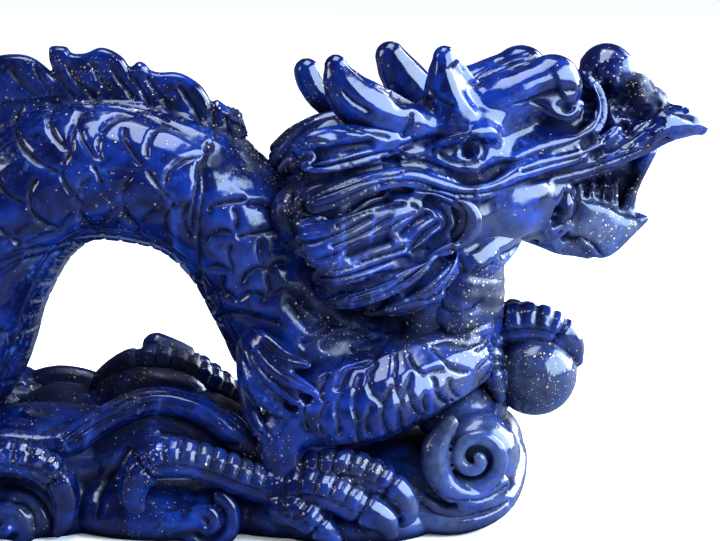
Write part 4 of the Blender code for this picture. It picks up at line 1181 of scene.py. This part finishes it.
toePaths = [
    [(33, -26, 13, 5), (40, -27, 17, 5), (47.5, -29, 17.4, 4.6), (54, -30, 15, 4.4), (59, -30.5, 11.4, 3.8),
     (61, -30.5, 7, 2.8), (59.4, -30.5, 4.4, 1.4)],
    [(32, -28, 11.5, 5), (38, -31, 13.4, 4.8), (44.5, -33, 12.4, 4.6), (51, -34, 9, 4.2), (55.5, -34, 6.4, 3.4),
     (57, -34, 3.6, 2.2)],
    [(32, -30, 8, 4.6), (36, -33.5, 8.4, 4.2), (40.5, -35, 5.6, 3.8), (44, -35.5, 2.4, 2.2)],
    [(30, -27, 12.5, 5), (24, -28.5, 14.6, 4.6), (17.6, -29.5, 17.6, 4.6), (11.8, -30, 19.6, 4.6),
     (6, -30, 20.4, 4.6), (1.2, -30, 18.6, 4.4), (-2, -30, 14.4, 3.9), (-2.4, -30, 9.6, 3), (0, -30, 6.6, 1.6)],
    [(-50, -26, 12, 5.2), (-42, -28, 18, 4.8), (-33, -29, 20, 4.6), (-26, -29.5, 19.4, 4.4),
     (-20.8, -29.5, 16.4, 4), (-18.2, -29.5, 11, 3.6), (-18.6, -29.5, 5.6, 2.8), (-20.4, -29.5, 2, 1.4)],
    [(-52, -28, 9, 5), (-46, -32, 9, 4.8), (-41, -33, 6, 4.4), (-39, -33, 1.5, 2.4)],
    [(-54, -25, 10, 5), (-63, -28, 14, 5), (-72, -29, 11, 4.4), (-76, -29, 4, 2.2)],
    [(22, 27, 11, 5.2), (32, 29, 14, 5), (42, 30.5, 11, 4.4), (47.5, 30.5, 4, 2.2)],
    [(20, 28, 9, 5), (28, 32, 10, 4.6), (35, 33.5, 6.5, 4), (38.5, 33.5, 2, 2)],
    [(24, 25, 12, 5), (18, 22, 20, 4.8), (11, 19, 25.4, 4.8), (3, 18, 29.8, 4.9), (-5, 18, 30.2, 4.9),
     (-12, 18.5, 26.4, 4.4), (-17, 19, 20.5, 3.6)],
    [(22, 26, 14, 4.8), (14, 27, 22, 4.6), (5, 26, 28.8, 4.6), (-1.4, 25, 33, 3.8)],
    [(79, 10, 41, 5.2), (85.5, 4, 43.8, 5.4), (92, 3, 44.4, 5.2), (97.6, 3, 42.6, 4.6), (101.4, 3.5, 38.6, 3.4),
     (103, 4, 34.8, 1.6)],
    [(80, 12, 41, 5), (87, 12, 43.4, 5), (94, 12, 42, 4.4), (99.5, 12, 37, 3.2), (101, 12, 31, 1.6)],
    [(79, 8, 40, 4.8), (80.5, 0, 39.5, 4.2), (81.5, -4, 34, 3.4), (83.5, -4.5, 28, 1.8)],
]


def toeCut(points, normals):
    # ribs across the upper side of each toe, a groove along its side and a smooth claw
    best = np.full(len(points), np.inf)
    height = np.zeros(len(points))
    for path in toePaths:
        run, off, along, radius, distance, length = followPath(points, path, 6)
        side = np.stack((along[:, 2], np.zeros(len(along)), -along[:, 0]), axis=1)
        side /= np.maximum(np.linalg.norm(side, axis=1), 1e-6)[:, None]
        hand = 1 if path[len(path) // 2][0] > path[0][0] else -1
        over = -hand * (off * side).sum(1) / np.maximum(radius, 1)
        clawFrom = length * (1 - toe["clawShare"])
        phase = np.abs(((run / toe["ribMm"]) % 1) - 0.5) * 2
        ribs = -toe["ribDepthMm"] * smoothstep(0.35, 1.0, phase) * smoothstep(-0.15, 0.15, over)
        ribs *= smoothstep(1, 4, run) * (1 - smoothstep(clawFrom - 1, clawFrom, run))
        band = -toe["bandDepthMm"] * np.exp(-(((over + 0.12) * radius) / 0.55) ** 2)
        band *= smoothstep(2, 5, run) * (1 - smoothstep(clawFrom, clawFrom + 3, run))
        collar = -toe["collarDepthMm"] * np.exp(-(((run - clawFrom) / 0.6) ** 2))
        closer = distance - radius < best
        best[closer] = (distance - radius)[closer]
        height[closer] = (ribs + band + collar)[closer]
    pearl = np.linalg.norm(points - np.array(toe["pearlCentreMm"]), axis=1)
    return height * (pearl > toe["pearlRadiusMm"] * 1.03)


def carveToes():
    tubes("toes", toePaths, steps=4)
    balls("pearl", [(toe["pearlCentreMm"], (toe["pearlRadiusMm"],) * 3, 0)])
    return finish("clawsAndPearl", fuse("clawsAndPearl"), [toeCut])


# the clouds that everything stands on
cloud = {
    "scrollCentreMm": (76.6, -23.5, 18.6),
    "scrollRadiusMm": 9.4,
    "scrollTurns": 1.5,
    "scrollThickness": 0.24,  # of its radius
    "eyeRiseMm": 2.5,
    "halfDepthMm": 27.0,
    "lineCut": (0.8, 1.1),  # width and depth in mm
}


def spiral(centre, radius, hand, start):
    # a scroll in the plane of x and z, from its outer end, at start degrees, to its eye
    x0, y0, z0 = centre
    thickness, steps = cloud["scrollThickness"], 40
    points = []
    for k in range(steps + 1):
        share = k / steps
        angle = math.radians(start + hand * 360 * cloud["scrollTurns"] * share)
        reach = radius * (1 - thickness * 0.6) * (1 - 0.86 * share)
        bar = radius * thickness * (1 - 0.35 * share)
        outward = -1 if y0 < 0 else 1
        depth = y0 + outward * share * cloud["eyeRiseMm"]
        points.append((x0 + reach * math.cos(angle), depth, z0 + reach * math.sin(angle), bar))
    return points


def clouds():
    lobes = [
        ((62, 0, 6), (26, 27, 11), 0), ((76, -2, 10), (12, 22, 12), 0), ((83, 8, 12), (7.5, 12, 10), 0),
        ((36, 0, 4), (30, 30, 12), 0), ((4, -2, 5), (34, 31, 12), 0), ((3, -12, 13), (24, 12, 18.5), 0),
        ((2, 12, 12), (24, 14, 14), 0), ((-30, 0, 5), (30, 31, 13), 0), ((-24, 10, 14), (14, 14, 13), 0),
        ((-62, 0, 5), (32, 31, 13), 0), ((-92, 0, 6), (20, 25, 13), 0), ((-104, 4, 9), (12, 16, 11), 0),
        ((77, -13, 16), (11, 10, 11), 0), ((-92, -13, 13), (11, 12, 11), 0), ((-2, 15, 22), (15, 9, 9), 0),
        ((-26, -8, 14), (26, 16, 13), 0), ((80, 6, 27), (7, 10, 11), 0), ((73, -3, 24), (10, 13, 8), 0),
        ((48, -13, 3), (24, 21.5, 8), 0),
    ]
    balls("cloudLobes", lobes)
    near, far = -cloud["halfDepthMm"], cloud["halfDepthMm"]
    scrolls = [
        (cloud["scrollCentreMm"], cloud["scrollRadiusMm"], 1, 205), ((-94, near + 3, 13), 10.5, -1, 20),
        ((-32.7, near - 1, 4), 10, 1, 120), ((14, near - 2, 4.5), 8.5, -1, 60), ((72, far - 5, 12), 10, -1, 30),
        ((2, far, 10), 9.5, 1, 150), ((-24, far, 9), 8, -1, 30), ((-92, far - 4, 12), 10, 1, 160),
    ]
    tubes("scrolls", [spiral(*scroll) for scroll in scrolls], steps=1)
    waves = [
        [(-46, -21, 19, 3.2), (-34, -23, 22, 3.2), (-24, -22, 21, 3.2), (-17, -21.5, 22.4, 3.4),
         (-11, -21, 26, 3.4), (-3, -20, 30, 3.4), (4, -19.5, 31, 3.4), (12, -20, 29, 3.4), (19, -21, 24.4, 3.4),
         (26, -22, 19, 3)], [(-38, 19, 22, 3.6), (-28, 20, 25.6, 3.6), (-20, 20, 25.2, 3.6), (-12, 20, 22, 3.6)],
        [(62, -25, 4.4, 3.4), (73, -25, 3.6, 3.6), (82, -20, 6, 3.8), (86, -8, 9, 4), (86.5, 4, 12, 4.4),
         (84, 16, 9, 4)],
        [(71, -25, 27, 2), (67.5, -26, 21.5, 3.2), (68, -26.5, 15.4, 3.4), (72, -26, 10.6, 2.8),
         (78, -24, 8.6, 2.6), (83, -21, 11, 2.4)],
    ]
    tubes("waves", waves, steps=4)


cloudLines = [
    [(160, 427), (163, 433), (180, 436), (200, 440), (212, 447), (240, 446)],
    [(130, 445), (116, 470), (101, 490), (95, 520)],
    [(60, 440), (80, 422), (100, 410), (120, 400), (150, 390), (180, 391), (215, 405), (240, 428)],
    [(66, 448), (86, 430), (108, 418), (135, 408), (160, 403)],
    [(0, 483), (20, 484), (38, 495), (50, 512), (58, 532)], [(12, 500), (24, 502), (33, 513), (36, 530)],
    [(425, 490), (440, 500), (460, 503), (482, 500), (501, 492), (516, 480)],
    [(418, 500), (436, 511), (460, 515), (490, 510), (512, 500)],
]


def cloudCut(points, normals):
    places = toPhoto(points)
    drawn = cutLines(places, cloudLines, *cloud["lineCut"]) * faces(points, normals) * (points[:, 1] < 0)
    return -drawn * smoothstep(0.2, 1.5, points[:, 2])  # the sawn face stays whole


def carveClouds():
    clouds()
    return finish("cloudBase", fuse("cloudBase"), [cloudCut])


# where the stone changes, and where shade is painted into it, as numbers kept at each point of the skin
patches = {
    # calcite turns the blue to grey: px x, px y, radius in px, strength
    "calcite": [
        (606, 226, 30, 0.95), (630, 226, 20, 0.9), (585, 232, 22, 0.8), (570, 250, 20, 0.6), (515, 245, 34, 0.45),
        (462, 222, 22, 0.55), (500, 225, 26, 0.35), (535, 380, 42, 0.6), (470, 455, 46, 0.95),
        (430, 480, 28, 0.5), (440, 515, 34, 0.75), (500, 500, 24, 0.5), (410, 400, 20, 0.3), (440, 330, 34, 0.35),
        (460, 380, 28, 0.35), (350, 478, 26, 0.35), (30, 505, 26, 0.35), (245, 460, 18, 0.3), (330, 345, 16, 0.3),
        (200, 452, 26, 0.25), (660, 180, 12, 0.4),
    ],
    # pyrite gathers in these places
    "pyrite": [
        (618, 66, 18, 1), (630, 86, 18, 0.9), (600, 240, 24, 0.9), (620, 225, 20, 0.9), (262, 150, 26, 0.5),
        (535, 378, 34, 0.7), (465, 325, 34, 0.6), (155, 468, 26, 0.8), (50, 66, 20, 0.7), (96, 76, 24, 0.8),
        (150, 92, 22, 0.8), (214, 110, 14, 0.8), (640, 110, 20, 0.4), (20, 98, 16, 0.5), (110, 205, 40, 0.3),
        (300, 100, 30, 0.3), (390, 50, 14, 0.3), (345, 60, 14, 0.3), (350, 470, 30, 0.4), (470, 280, 30, 0.4),
        (100, 360, 26, 0.3), (30, 450, 30, 0.3), (270, 450, 24, 0.4),
    ],
    # dark and gritty where the tool left it, and painted shade in the deep recesses behind the neck, at the throat
    # and in the mouth
    "rawAndShade": [
        (246, 132, 18, 1), (262, 152, 22, 1), (280, 178, 22, 1), (236, 116, 12, 1), (290, 215, 16, 1),
        (298, 250, 14, 0.7), (320, 285, 24, 1), (365, 333, 26, 1), (330, 322, 30, 1), (300, 300, 18, 1),
        (405, 328, 24, 1), (285, 130, 16, 0.9), (215, 160, 10, 0.6), (206, 230, 8, 0.5), (60, 390, 40, 0.6),
        (40, 330, 20, 0.5), (228, 400, 18, 0.9), (120, 375, 36, 0.8), (180, 360, 24, 0.8), (256, 470, 16, 0.5),
        (490, 300, 20, 0.8), (628, 182, 18, 1), (606, 184, 16, 1), (588, 188, 9, 1), (280, 120, 14, 0.9),
        (568, 216, 8, 0.7), (648, 94, 20, 0.9), (632, 86, 18, 1), (545, 395, 22, 0.4), (150, 505, 30, 0.4),
        (310, 440, 16, 0.3), (345, 212, 24, 0.3), (360, 120, 8, 0.4), (470, 110, 6, 0.3), (485, 395, 14, 0.9),
        (445, 420, 14, 0.6), (600, 165, 8, 0.5),
    ],
    # rubbed to a satin only
    "satin": [
        (370, 240, 60, 1), (400, 290, 50, 1), (330, 190, 36, 0.8), (250, 250, 40, 0.6), (320, 145, 24, 0.5),
        (300, 380, 40, 0.5), (470, 310, 30, 0.8), (380, 500, 50, 0.4), (150, 360, 60, 0.7), (600, 225, 34, 0.5),
    ],
    # places whose blue stays nearly black; the darkest, in the mouth, is painted shade
    "night": [
        (20, 78, 36, 0.8), (76, 76, 30, 0.8), (120, 88, 28, 0.8), (165, 98, 28, 0.8), (60, 205, 50, 0.6),
        (135, 205, 44, 0.6), (15, 150, 34, 0.6), (120, 160, 26, 0.4), (250, 215, 22, 0.4), (360, 300, 40, 0.4),
        (60, 330, 70, 0.7), (120, 310, 60, 0.5), (250, 420, 30, 0.4), (430, 430, 24, 0.6), (330, 90, 40, 0.5),
        (625, 182, 24, 1), (500, 300, 34, 0.6), (535, 385, 40, 0.7), (608, 62, 22, 0.6), (634, 90, 26, 0.9),
        (90, 500, 60, 0.5), (290, 500, 60, 0.6), (390, 60, 24, 0.4),
    ],
}
veins = [
    [(160, 395), (158, 410), (151, 425)], [(95, 412), (90, 432), (83, 455)], [(345, 210), (341, 250), (335, 300)],
    [(375, 215), (371, 240), (365, 262)], [(355, 290), (351, 310)], [(610, 205), (618, 226), (615, 250)],
    [(70, 160), (80, 190), (76, 230)], [(160, 180), (172, 210), (176, 250)], [(420, 350), (432, 392), (428, 430)],
]


def patchShare(places, spots):
    share = np.zeros(len(places))
    for x, y, radius, strength in spots:
        distance = np.hypot(places[:, 0] - x, places[:, 1] - y)
        share = np.maximum(share, strength * np.exp(-((distance / radius) ** 2)))
    return share


def stoneTones(points, normals, ends):
    places = toPhoto(points)
    # a carved stone is one colour right through, so the far side has its patches where the near side has
    bend = ((neighbourMean(points, ends) - points) * normals).sum(1)
    lengths = np.linalg.norm(points[ends[:, 0]] - points[ends[:, 1]], axis=1) ** 2
    count = np.bincount(ends.ravel(), minlength=len(points)).astype(float)
    spread = np.bincount(ends[:, 0], lengths, len(points)) + np.bincount(ends[:, 1], lengths, len(points))
    creaseShade = bend / np.maximum(spread / np.maximum(count, 1), 1e-4)
    for _ in range(2):
        creaseShade = 0.5 * creaseShade + 0.5 * neighbourMean(creaseShade, ends)
    wide = creaseShade.copy()
    for _ in range(10):
        wide = neighbourMean(wide, ends)
    tones = {name: patchShare(places, spots) for name, spots in patches.items()}
    # painted shade: the creases and hollows of the skin, darkened in the material
    tones["creaseShade"] = np.maximum(smoothstep(0.03, 0.26, creaseShade), 0.8 * smoothstep(0.02, 0.13, wide))
    tones["vein"] = cutLines(places, veins, 0.35, 1.0)
    return tones


# lapis lazuli, ground to shape, polished on the ridges and left from the point of the tool in the grooves: deep
# ultramarine under a hard, slightly wavy gloss, with grey calcite clouds, brass-coloured specks and painted shade in
# the grooves
lapis = {
    "deepBlue": "#010a36",
    "royalBlue": "#062267",
    "nightBlue": "#01031c",
    "calciteBlue": "#343d52",
    "veinBlue": "#2c459c",
    "grooveShadeBlue": "#01041a",
    "calciteSpeck": "#35508c",
    "pyriteGold": "#cdb184",
    # each pattern: size in mm, detail, distortion, and the range of it that is spread from 0 to 1
    "patterns": {
        "patch": (12.0, 4.0, 0.6, 0.38, 0.66),
        "mottle": (3.5, 4.0, 0.3, 0.35, 0.7),
        "dark": (5.5, 5.0, 0.8, 0.52, 0.68),
        "pale": (16.0, 3.0, 0.0, 0.5, 0.7),
        "chalk": (1.3, 4.0, 0.0, 0.5, 0.75),
        "calciteGrain": (2.1, 5.0, 0.4, 0.3, 0.72),
        "drift": (9.0, 4.0, 0.0, 0.5, 0.74),
    },
    "flecks": [(0.38, 0.32), (0.75, 0.24)],  # grain size in mm, how crowded
    "fleckLimit": 0.998,  # the nearer to 1, the fewer stray flecks
    "raggedMm": 0.7,  # how fine the torn edges of the flecks are
    "tornMm": 0.5,
    "shelterMm": 7.0,  # how near another surface darkens this one
    "grain": (0.7, 0.1),  # size and depth in mm of the tool's grit
    "wave": (6.0, 1.0, 0.35),  # size and depth in mm, and strength, of the uneven hand polish
    "smearMm": 0.9,
    "refraction": 1.5,
    "gloss": 0.5,
    "grooveGlossLoss": 0.47,
    "polishedRoughness": 0.12,
    "grooveRoughness": 0.5,
    "smearRoughness": 0.06,
    "satinRoughness": 0.16,
    "fleckRoughness": 0.35,
}


def colour(text):
    # a screen colour as linear light
    parts = [int(text[k : k + 2], 16) / 255 for k in (1, 3, 5)]
    return (*[p / 12.92 if p <= 0.04045 else ((p + 0.055) / 1.055) ** 2.4 for p in parts], 1.0)


def addNode(tree, kind, links=None, **settings):
    # one node: links holds values or outputs for its sockets, and a node given there stands for its first output
    node = tree.nodes.new("ShaderNode" + kind)
    for key, value in settings.items():
        setattr(node, key, value)
    for socket, value in (links or {}).items():
        if isinstance(value, bpy.types.Node):
            value = value.outputs[0]
        if isinstance(value, bpy.types.NodeSocket):
            tree.links.new(value, node.inputs[socket])
        else:
            node.inputs[socket].default_value = value
    return node


def lapisStone():
    made = bpy.data.materials.new("polishedLapisLazuli")
    made.use_nodes = True
    made.node_tree.nodes.clear()
    add = partial(addNode, made.node_tree)
    clamped = {"use_clamp": True}
    times, plus = {"operation": "MULTIPLY", **clamped}, {"operation": "MULTIPLY_ADD", **clamped}
    most = {"operation": "MAXIMUM", **clamped}
    where = add("TexCoord").outputs["Object"]
    at = {name: add("Attribute", attribute_name=name).outputs["Fac"] for name in (*patches, "creaseShade", "vein")}
    soft = {}
    for name, (sizeMm, detail, distortion, low, high) in lapis["patterns"].items():
        pattern = {"Vector": where, "Scale": 1 / (sizeMm * mm), "Detail": detail, "Distortion": distortion}
        spread = {"Value": add("TexNoise", pattern), "From Min": low, "From Max": high}
        soft[name] = add("MapRange", spread, interpolation_type="SMOOTHSTEP")

    # painted shade: creases, sheltered hollows and raw patches are darkened towards the groove blue, and made rougher
    # and less glossy
    occlusionShade = add("AmbientOcclusion", {"Distance": lapis["shelterMm"] * mm}, samples=4).outputs["AO"]
    occlusionShade = add("MapRange", {"Value": occlusionShade, "From Min": 0.72, "From Max": 0.25}, interpolation_type="SMOOTHSTEP")
    gritAndShade = add("Math", {0: at["rawAndShade"], 1: add("Math", {0: soft["mottle"], 1: 1.0, 2: 0.75}, **plus)}, **times)
    shadeAndGrit = add("Math", {0: add("Math", {0: at["creaseShade"], 1: occlusionShade}, **most), 1: gritAndShade}, **most)

    # pyrite: specks of brass gold, thick in some places and thin in others
    gathered = add("Math", {0: at["rawAndShade"], 1: 0.35, 2: at["pyrite"]}, **plus)
    stray = add("Math", {0: soft["drift"], 1: 0.06}, **times)
    crowd = add("Math", {0: soft["drift"], 1: 1.0, 2: 0.4}, **plus)
    crowd = add("Math", {0: gathered, 1: crowd, 2: stray}, **plus)
    torn = add("TexNoise", {"Vector": where, "Scale": 1 / (lapis["raggedMm"] * mm), "Detail": 3.0}).outputs["Color"]
    torn = add("VectorMath", {0: torn, 1: (lapis["tornMm"] * mm,) * 3}, operation="MULTIPLY")
    ragged = add("VectorMath", {0: where, 1: torn}, operation="ADD")
    fleck = 0.0
    for sizeMm, share in lapis["flecks"]:
        cells = add("TexVoronoi", {"Vector": ragged, "Scale": 1 / (sizeMm * mm), "Randomness": 1.0})
        speck = add("MapRange", {"Value": cells, "From Min": 0.4, "From Max": 0.26}, interpolation_type="SMOOTHSTEP")
        chance = add("SeparateColor", {0: cells.outputs["Color"]})
        limit = add("Math", {0: crowd, 1: -share, 2: lapis["fleckLimit"]}, operation="MULTIPLY_ADD")
        chosen = add("Math", {0: chance, 1: limit}, operation="GREATER_THAN")
        fleck = add("Math", {0: fleck, 1: add("Math", {0: speck, 1: chosen}, **times)}, **most)

    # the blue: royal in deep ultramarine, mottled within, clouded grey by calcite, with painted shade in the grooves
    clouded = add("Math", {0: soft["calciteGrain"], 1: 0.7, 2: 0.45}, **plus)
    deep, royal = colour(lapis["deepBlue"]), colour(lapis["royalBlue"])
    blue = add("Mix", {0: soft["patch"], 6: deep, 7: royal}, data_type="RGBA")
    for share, strength, tint in (
        (soft["mottle"], 0.55, "nightBlue"), (at["night"], 0.75, "nightBlue"), (soft["dark"], 0.8, "nightBlue"),
        (add("Math", {0: soft["pale"], 1: soft["chalk"]}, **times), 0.5, "calciteSpeck"),
        (add("Math", {0: clouded, 1: at["calcite"]}, **times), 1.0, "calciteBlue"),
        (at["vein"], 0.4, "veinBlue"), (shadeAndGrit, 0.9, "grooveShadeBlue"), (fleck, 1.0, "pyriteGold"),
    ):
        share = add("Math", {0: share, 1: strength}, **times)
        blue = add("Mix", {0: share, 6: blue.outputs[2], 7: colour(lapis[tint])}, data_type="RGBA")

    # glossy on the ridges, duller in the grooves, on the flecks and where it was rubbed to a satin only
    rough = add("MapRange", {"Value": shadeAndGrit, "From Min": 0.15, "From Max": 0.7}, interpolation_type="SMOOTHSTEP")
    smear = add("TexNoise", {"Vector": where, "Scale": 1 / (lapis["smearMm"] * mm), "Detail": 2.0})
    roughness = lapis["polishedRoughness"]
    for share, added in (
        (rough, lapis["grooveRoughness"] - lapis["polishedRoughness"]), (smear, lapis["smearRoughness"]),
        (at["satin"], lapis["satinRoughness"]), (fleck, lapis["fleckRoughness"]),
    ):
        roughness = add("Math", {0: share, 1: added, 2: roughness}, **plus)
    grit = add("TexNoise", {"Vector": where, "Scale": 1 / (lapis["grain"][0] * mm), "Detail": 3.0})
    gritty = add("Math", {0: gritAndShade, 1: 0.8, 2: 0.1}, **plus)
    grain = add("Bump", {"Height": grit, "Strength": gritty, "Distance": lapis["grain"][1] * mm})
    waves = add("TexNoise", {"Vector": where, "Scale": 1 / (lapis["wave"][0] * mm), "Detail": 2.0})
    wavy = add("Bump", {
        "Height": waves, "Strength": lapis["wave"][2], "Distance": lapis["wave"][1] * mm, "Normal": grain,
    })
    gloss = add("Math", {0: shadeAndGrit, 1: -lapis["grooveGlossLoss"], 2: lapis["gloss"]}, **plus)
    shine = add("BsdfPrincipled", {
        "Base Color": blue.outputs[2], "Specular IOR Level": gloss, "Roughness": roughness,
        "IOR": lapis["refraction"], "Metallic": fleck, "Normal": wavy,
    })
    add("OutputMaterial", {"Surface": shine})
    return made


# the pieces, each one part of the same stone
polishedLapis = lapisStone()
for carve in (carveBody, carveHead, carveMane, carveLimbs, carveToes, carveClouds):
    piece = carve()
    piece.data.materials.clear()
    piece.data.materials.append(polishedLapis)
    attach(piece, "root")
    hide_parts("dragon_carving")
print("stone: six overlapping pieces carved and given their material")

# the table it stands on, the lights and the camera
studio = {
    "paper": "#fbfbfb",
    "paperRoughness": 0.6,
    "paperMirrored": "#50545c",  # how pale the paper looks in the polish
    "tableMm": 3000.0,
    "boxes": [
        # place in mm, width and height in mm, strength in W, tint
        ((600, -190, 330), (820, 520), 22.0, "#c6e2ff"),
        ((60, -20, 620), (420, 300), 5.0, "#cfe0ff"),
        ((-460, -120, 300), (160, 260), 1.4, "#f2f6ff"),
        ((560, 330, 240), (520, 420), 12.0, "#d8e8ff"),
    ],
    "aimMm": (10.0, 0.0, 55.0),
    "mirrored": 0.06,  # what the polish mirrors where no lamp hangs
    "surround": 1.06,  # even light from the white walls
    "backdrop": 1.0,
}


def setTable():
    half = studio["tableMm"] / 2 * mm
    data = bpy.data.meshes.new("table")
    data.from_pydata([(-half, -half, 0), (half, -half, 0), (half, half, 0), (-half, half, 0)], [], [(0, 1, 2, 3)])
    table = place("table", data)
    paper = bpy.data.materials.new("mattPaper")
    paper.use_nodes = True
    sheet = paper.node_tree.nodes["Principled BSDF"]
    tone = addNode(paper.node_tree, "Mix", {
        0: addNode(paper.node_tree, "LightPath").outputs["Is Glossy Ray"],
        6: colour(studio["paper"]), 7: colour(studio["paperMirrored"]),
    }, data_type="RGBA")
    paper.node_tree.links.new(tone.outputs[2], sheet.inputs["Base Color"])
    sheet.inputs["Roughness"].default_value = studio["paperRoughness"]
    data.materials.append(paper)


def hangLights():
    for index, (spot, size, strength, tint) in enumerate(studio["boxes"]):
        lamp = bpy.data.lights.new(f"softBox{index}", "AREA")
        lamp.shape = "RECTANGLE"
        lamp.size, lamp.size_y = size[0] * mm, size[1] * mm
        lamp.energy = strength
        lamp.color = colour(tint)[:3]
        hung = place(f"softBox{index}", lamp)
        towards = Vector(studio["aimMm"]) - Vector(spot)
        hung.location = Vector(spot) * mm
        hung.rotation_euler = towards.to_track_quat("-Z", "Y").to_euler()


def lightWorld():
    world = bpy.data.worlds.new("studio")
    bpy.context.scene.world = world
    world.use_nodes = True
    world.node_tree.nodes.clear()
    add = partial(addNode, world.node_tree)
    path = add("LightPath")
    walls = {"Value": path.outputs["Is Glossy Ray"], "To Min": studio["surround"], "To Max": studio["mirrored"]}
    seen = {"Value": path.outputs["Is Camera Ray"], "To Min": add("MapRange", walls), "To Max": studio["backdrop"]}
    glow = add("Background", {"Color": (1, 1, 1, 1), "Strength": add("MapRange", seen)})
    add("OutputWorld", {"Surface": glow})


def setCamera():
    data = bpy.data.cameras.new("camera")
    data.lens = shot["lensMm"]
    data.sensor_width = shot["sensorMm"]
    data.clip_start, data.clip_end = 0.01, 20
    camera = place("camera", data)
    camera.location = Vector(eyePoint) * mm
    camera.rotation_euler = Vector(eyeForward).to_track_quat("-Z", "Y").to_euler()
    bpy.context.scene.camera = camera


setTable()
hangLights()
lightWorld()
setCamera()
bpy.context.scene.view_settings.view_transform = "Standard"
print("studio: table, soft boxes, surround and camera set")
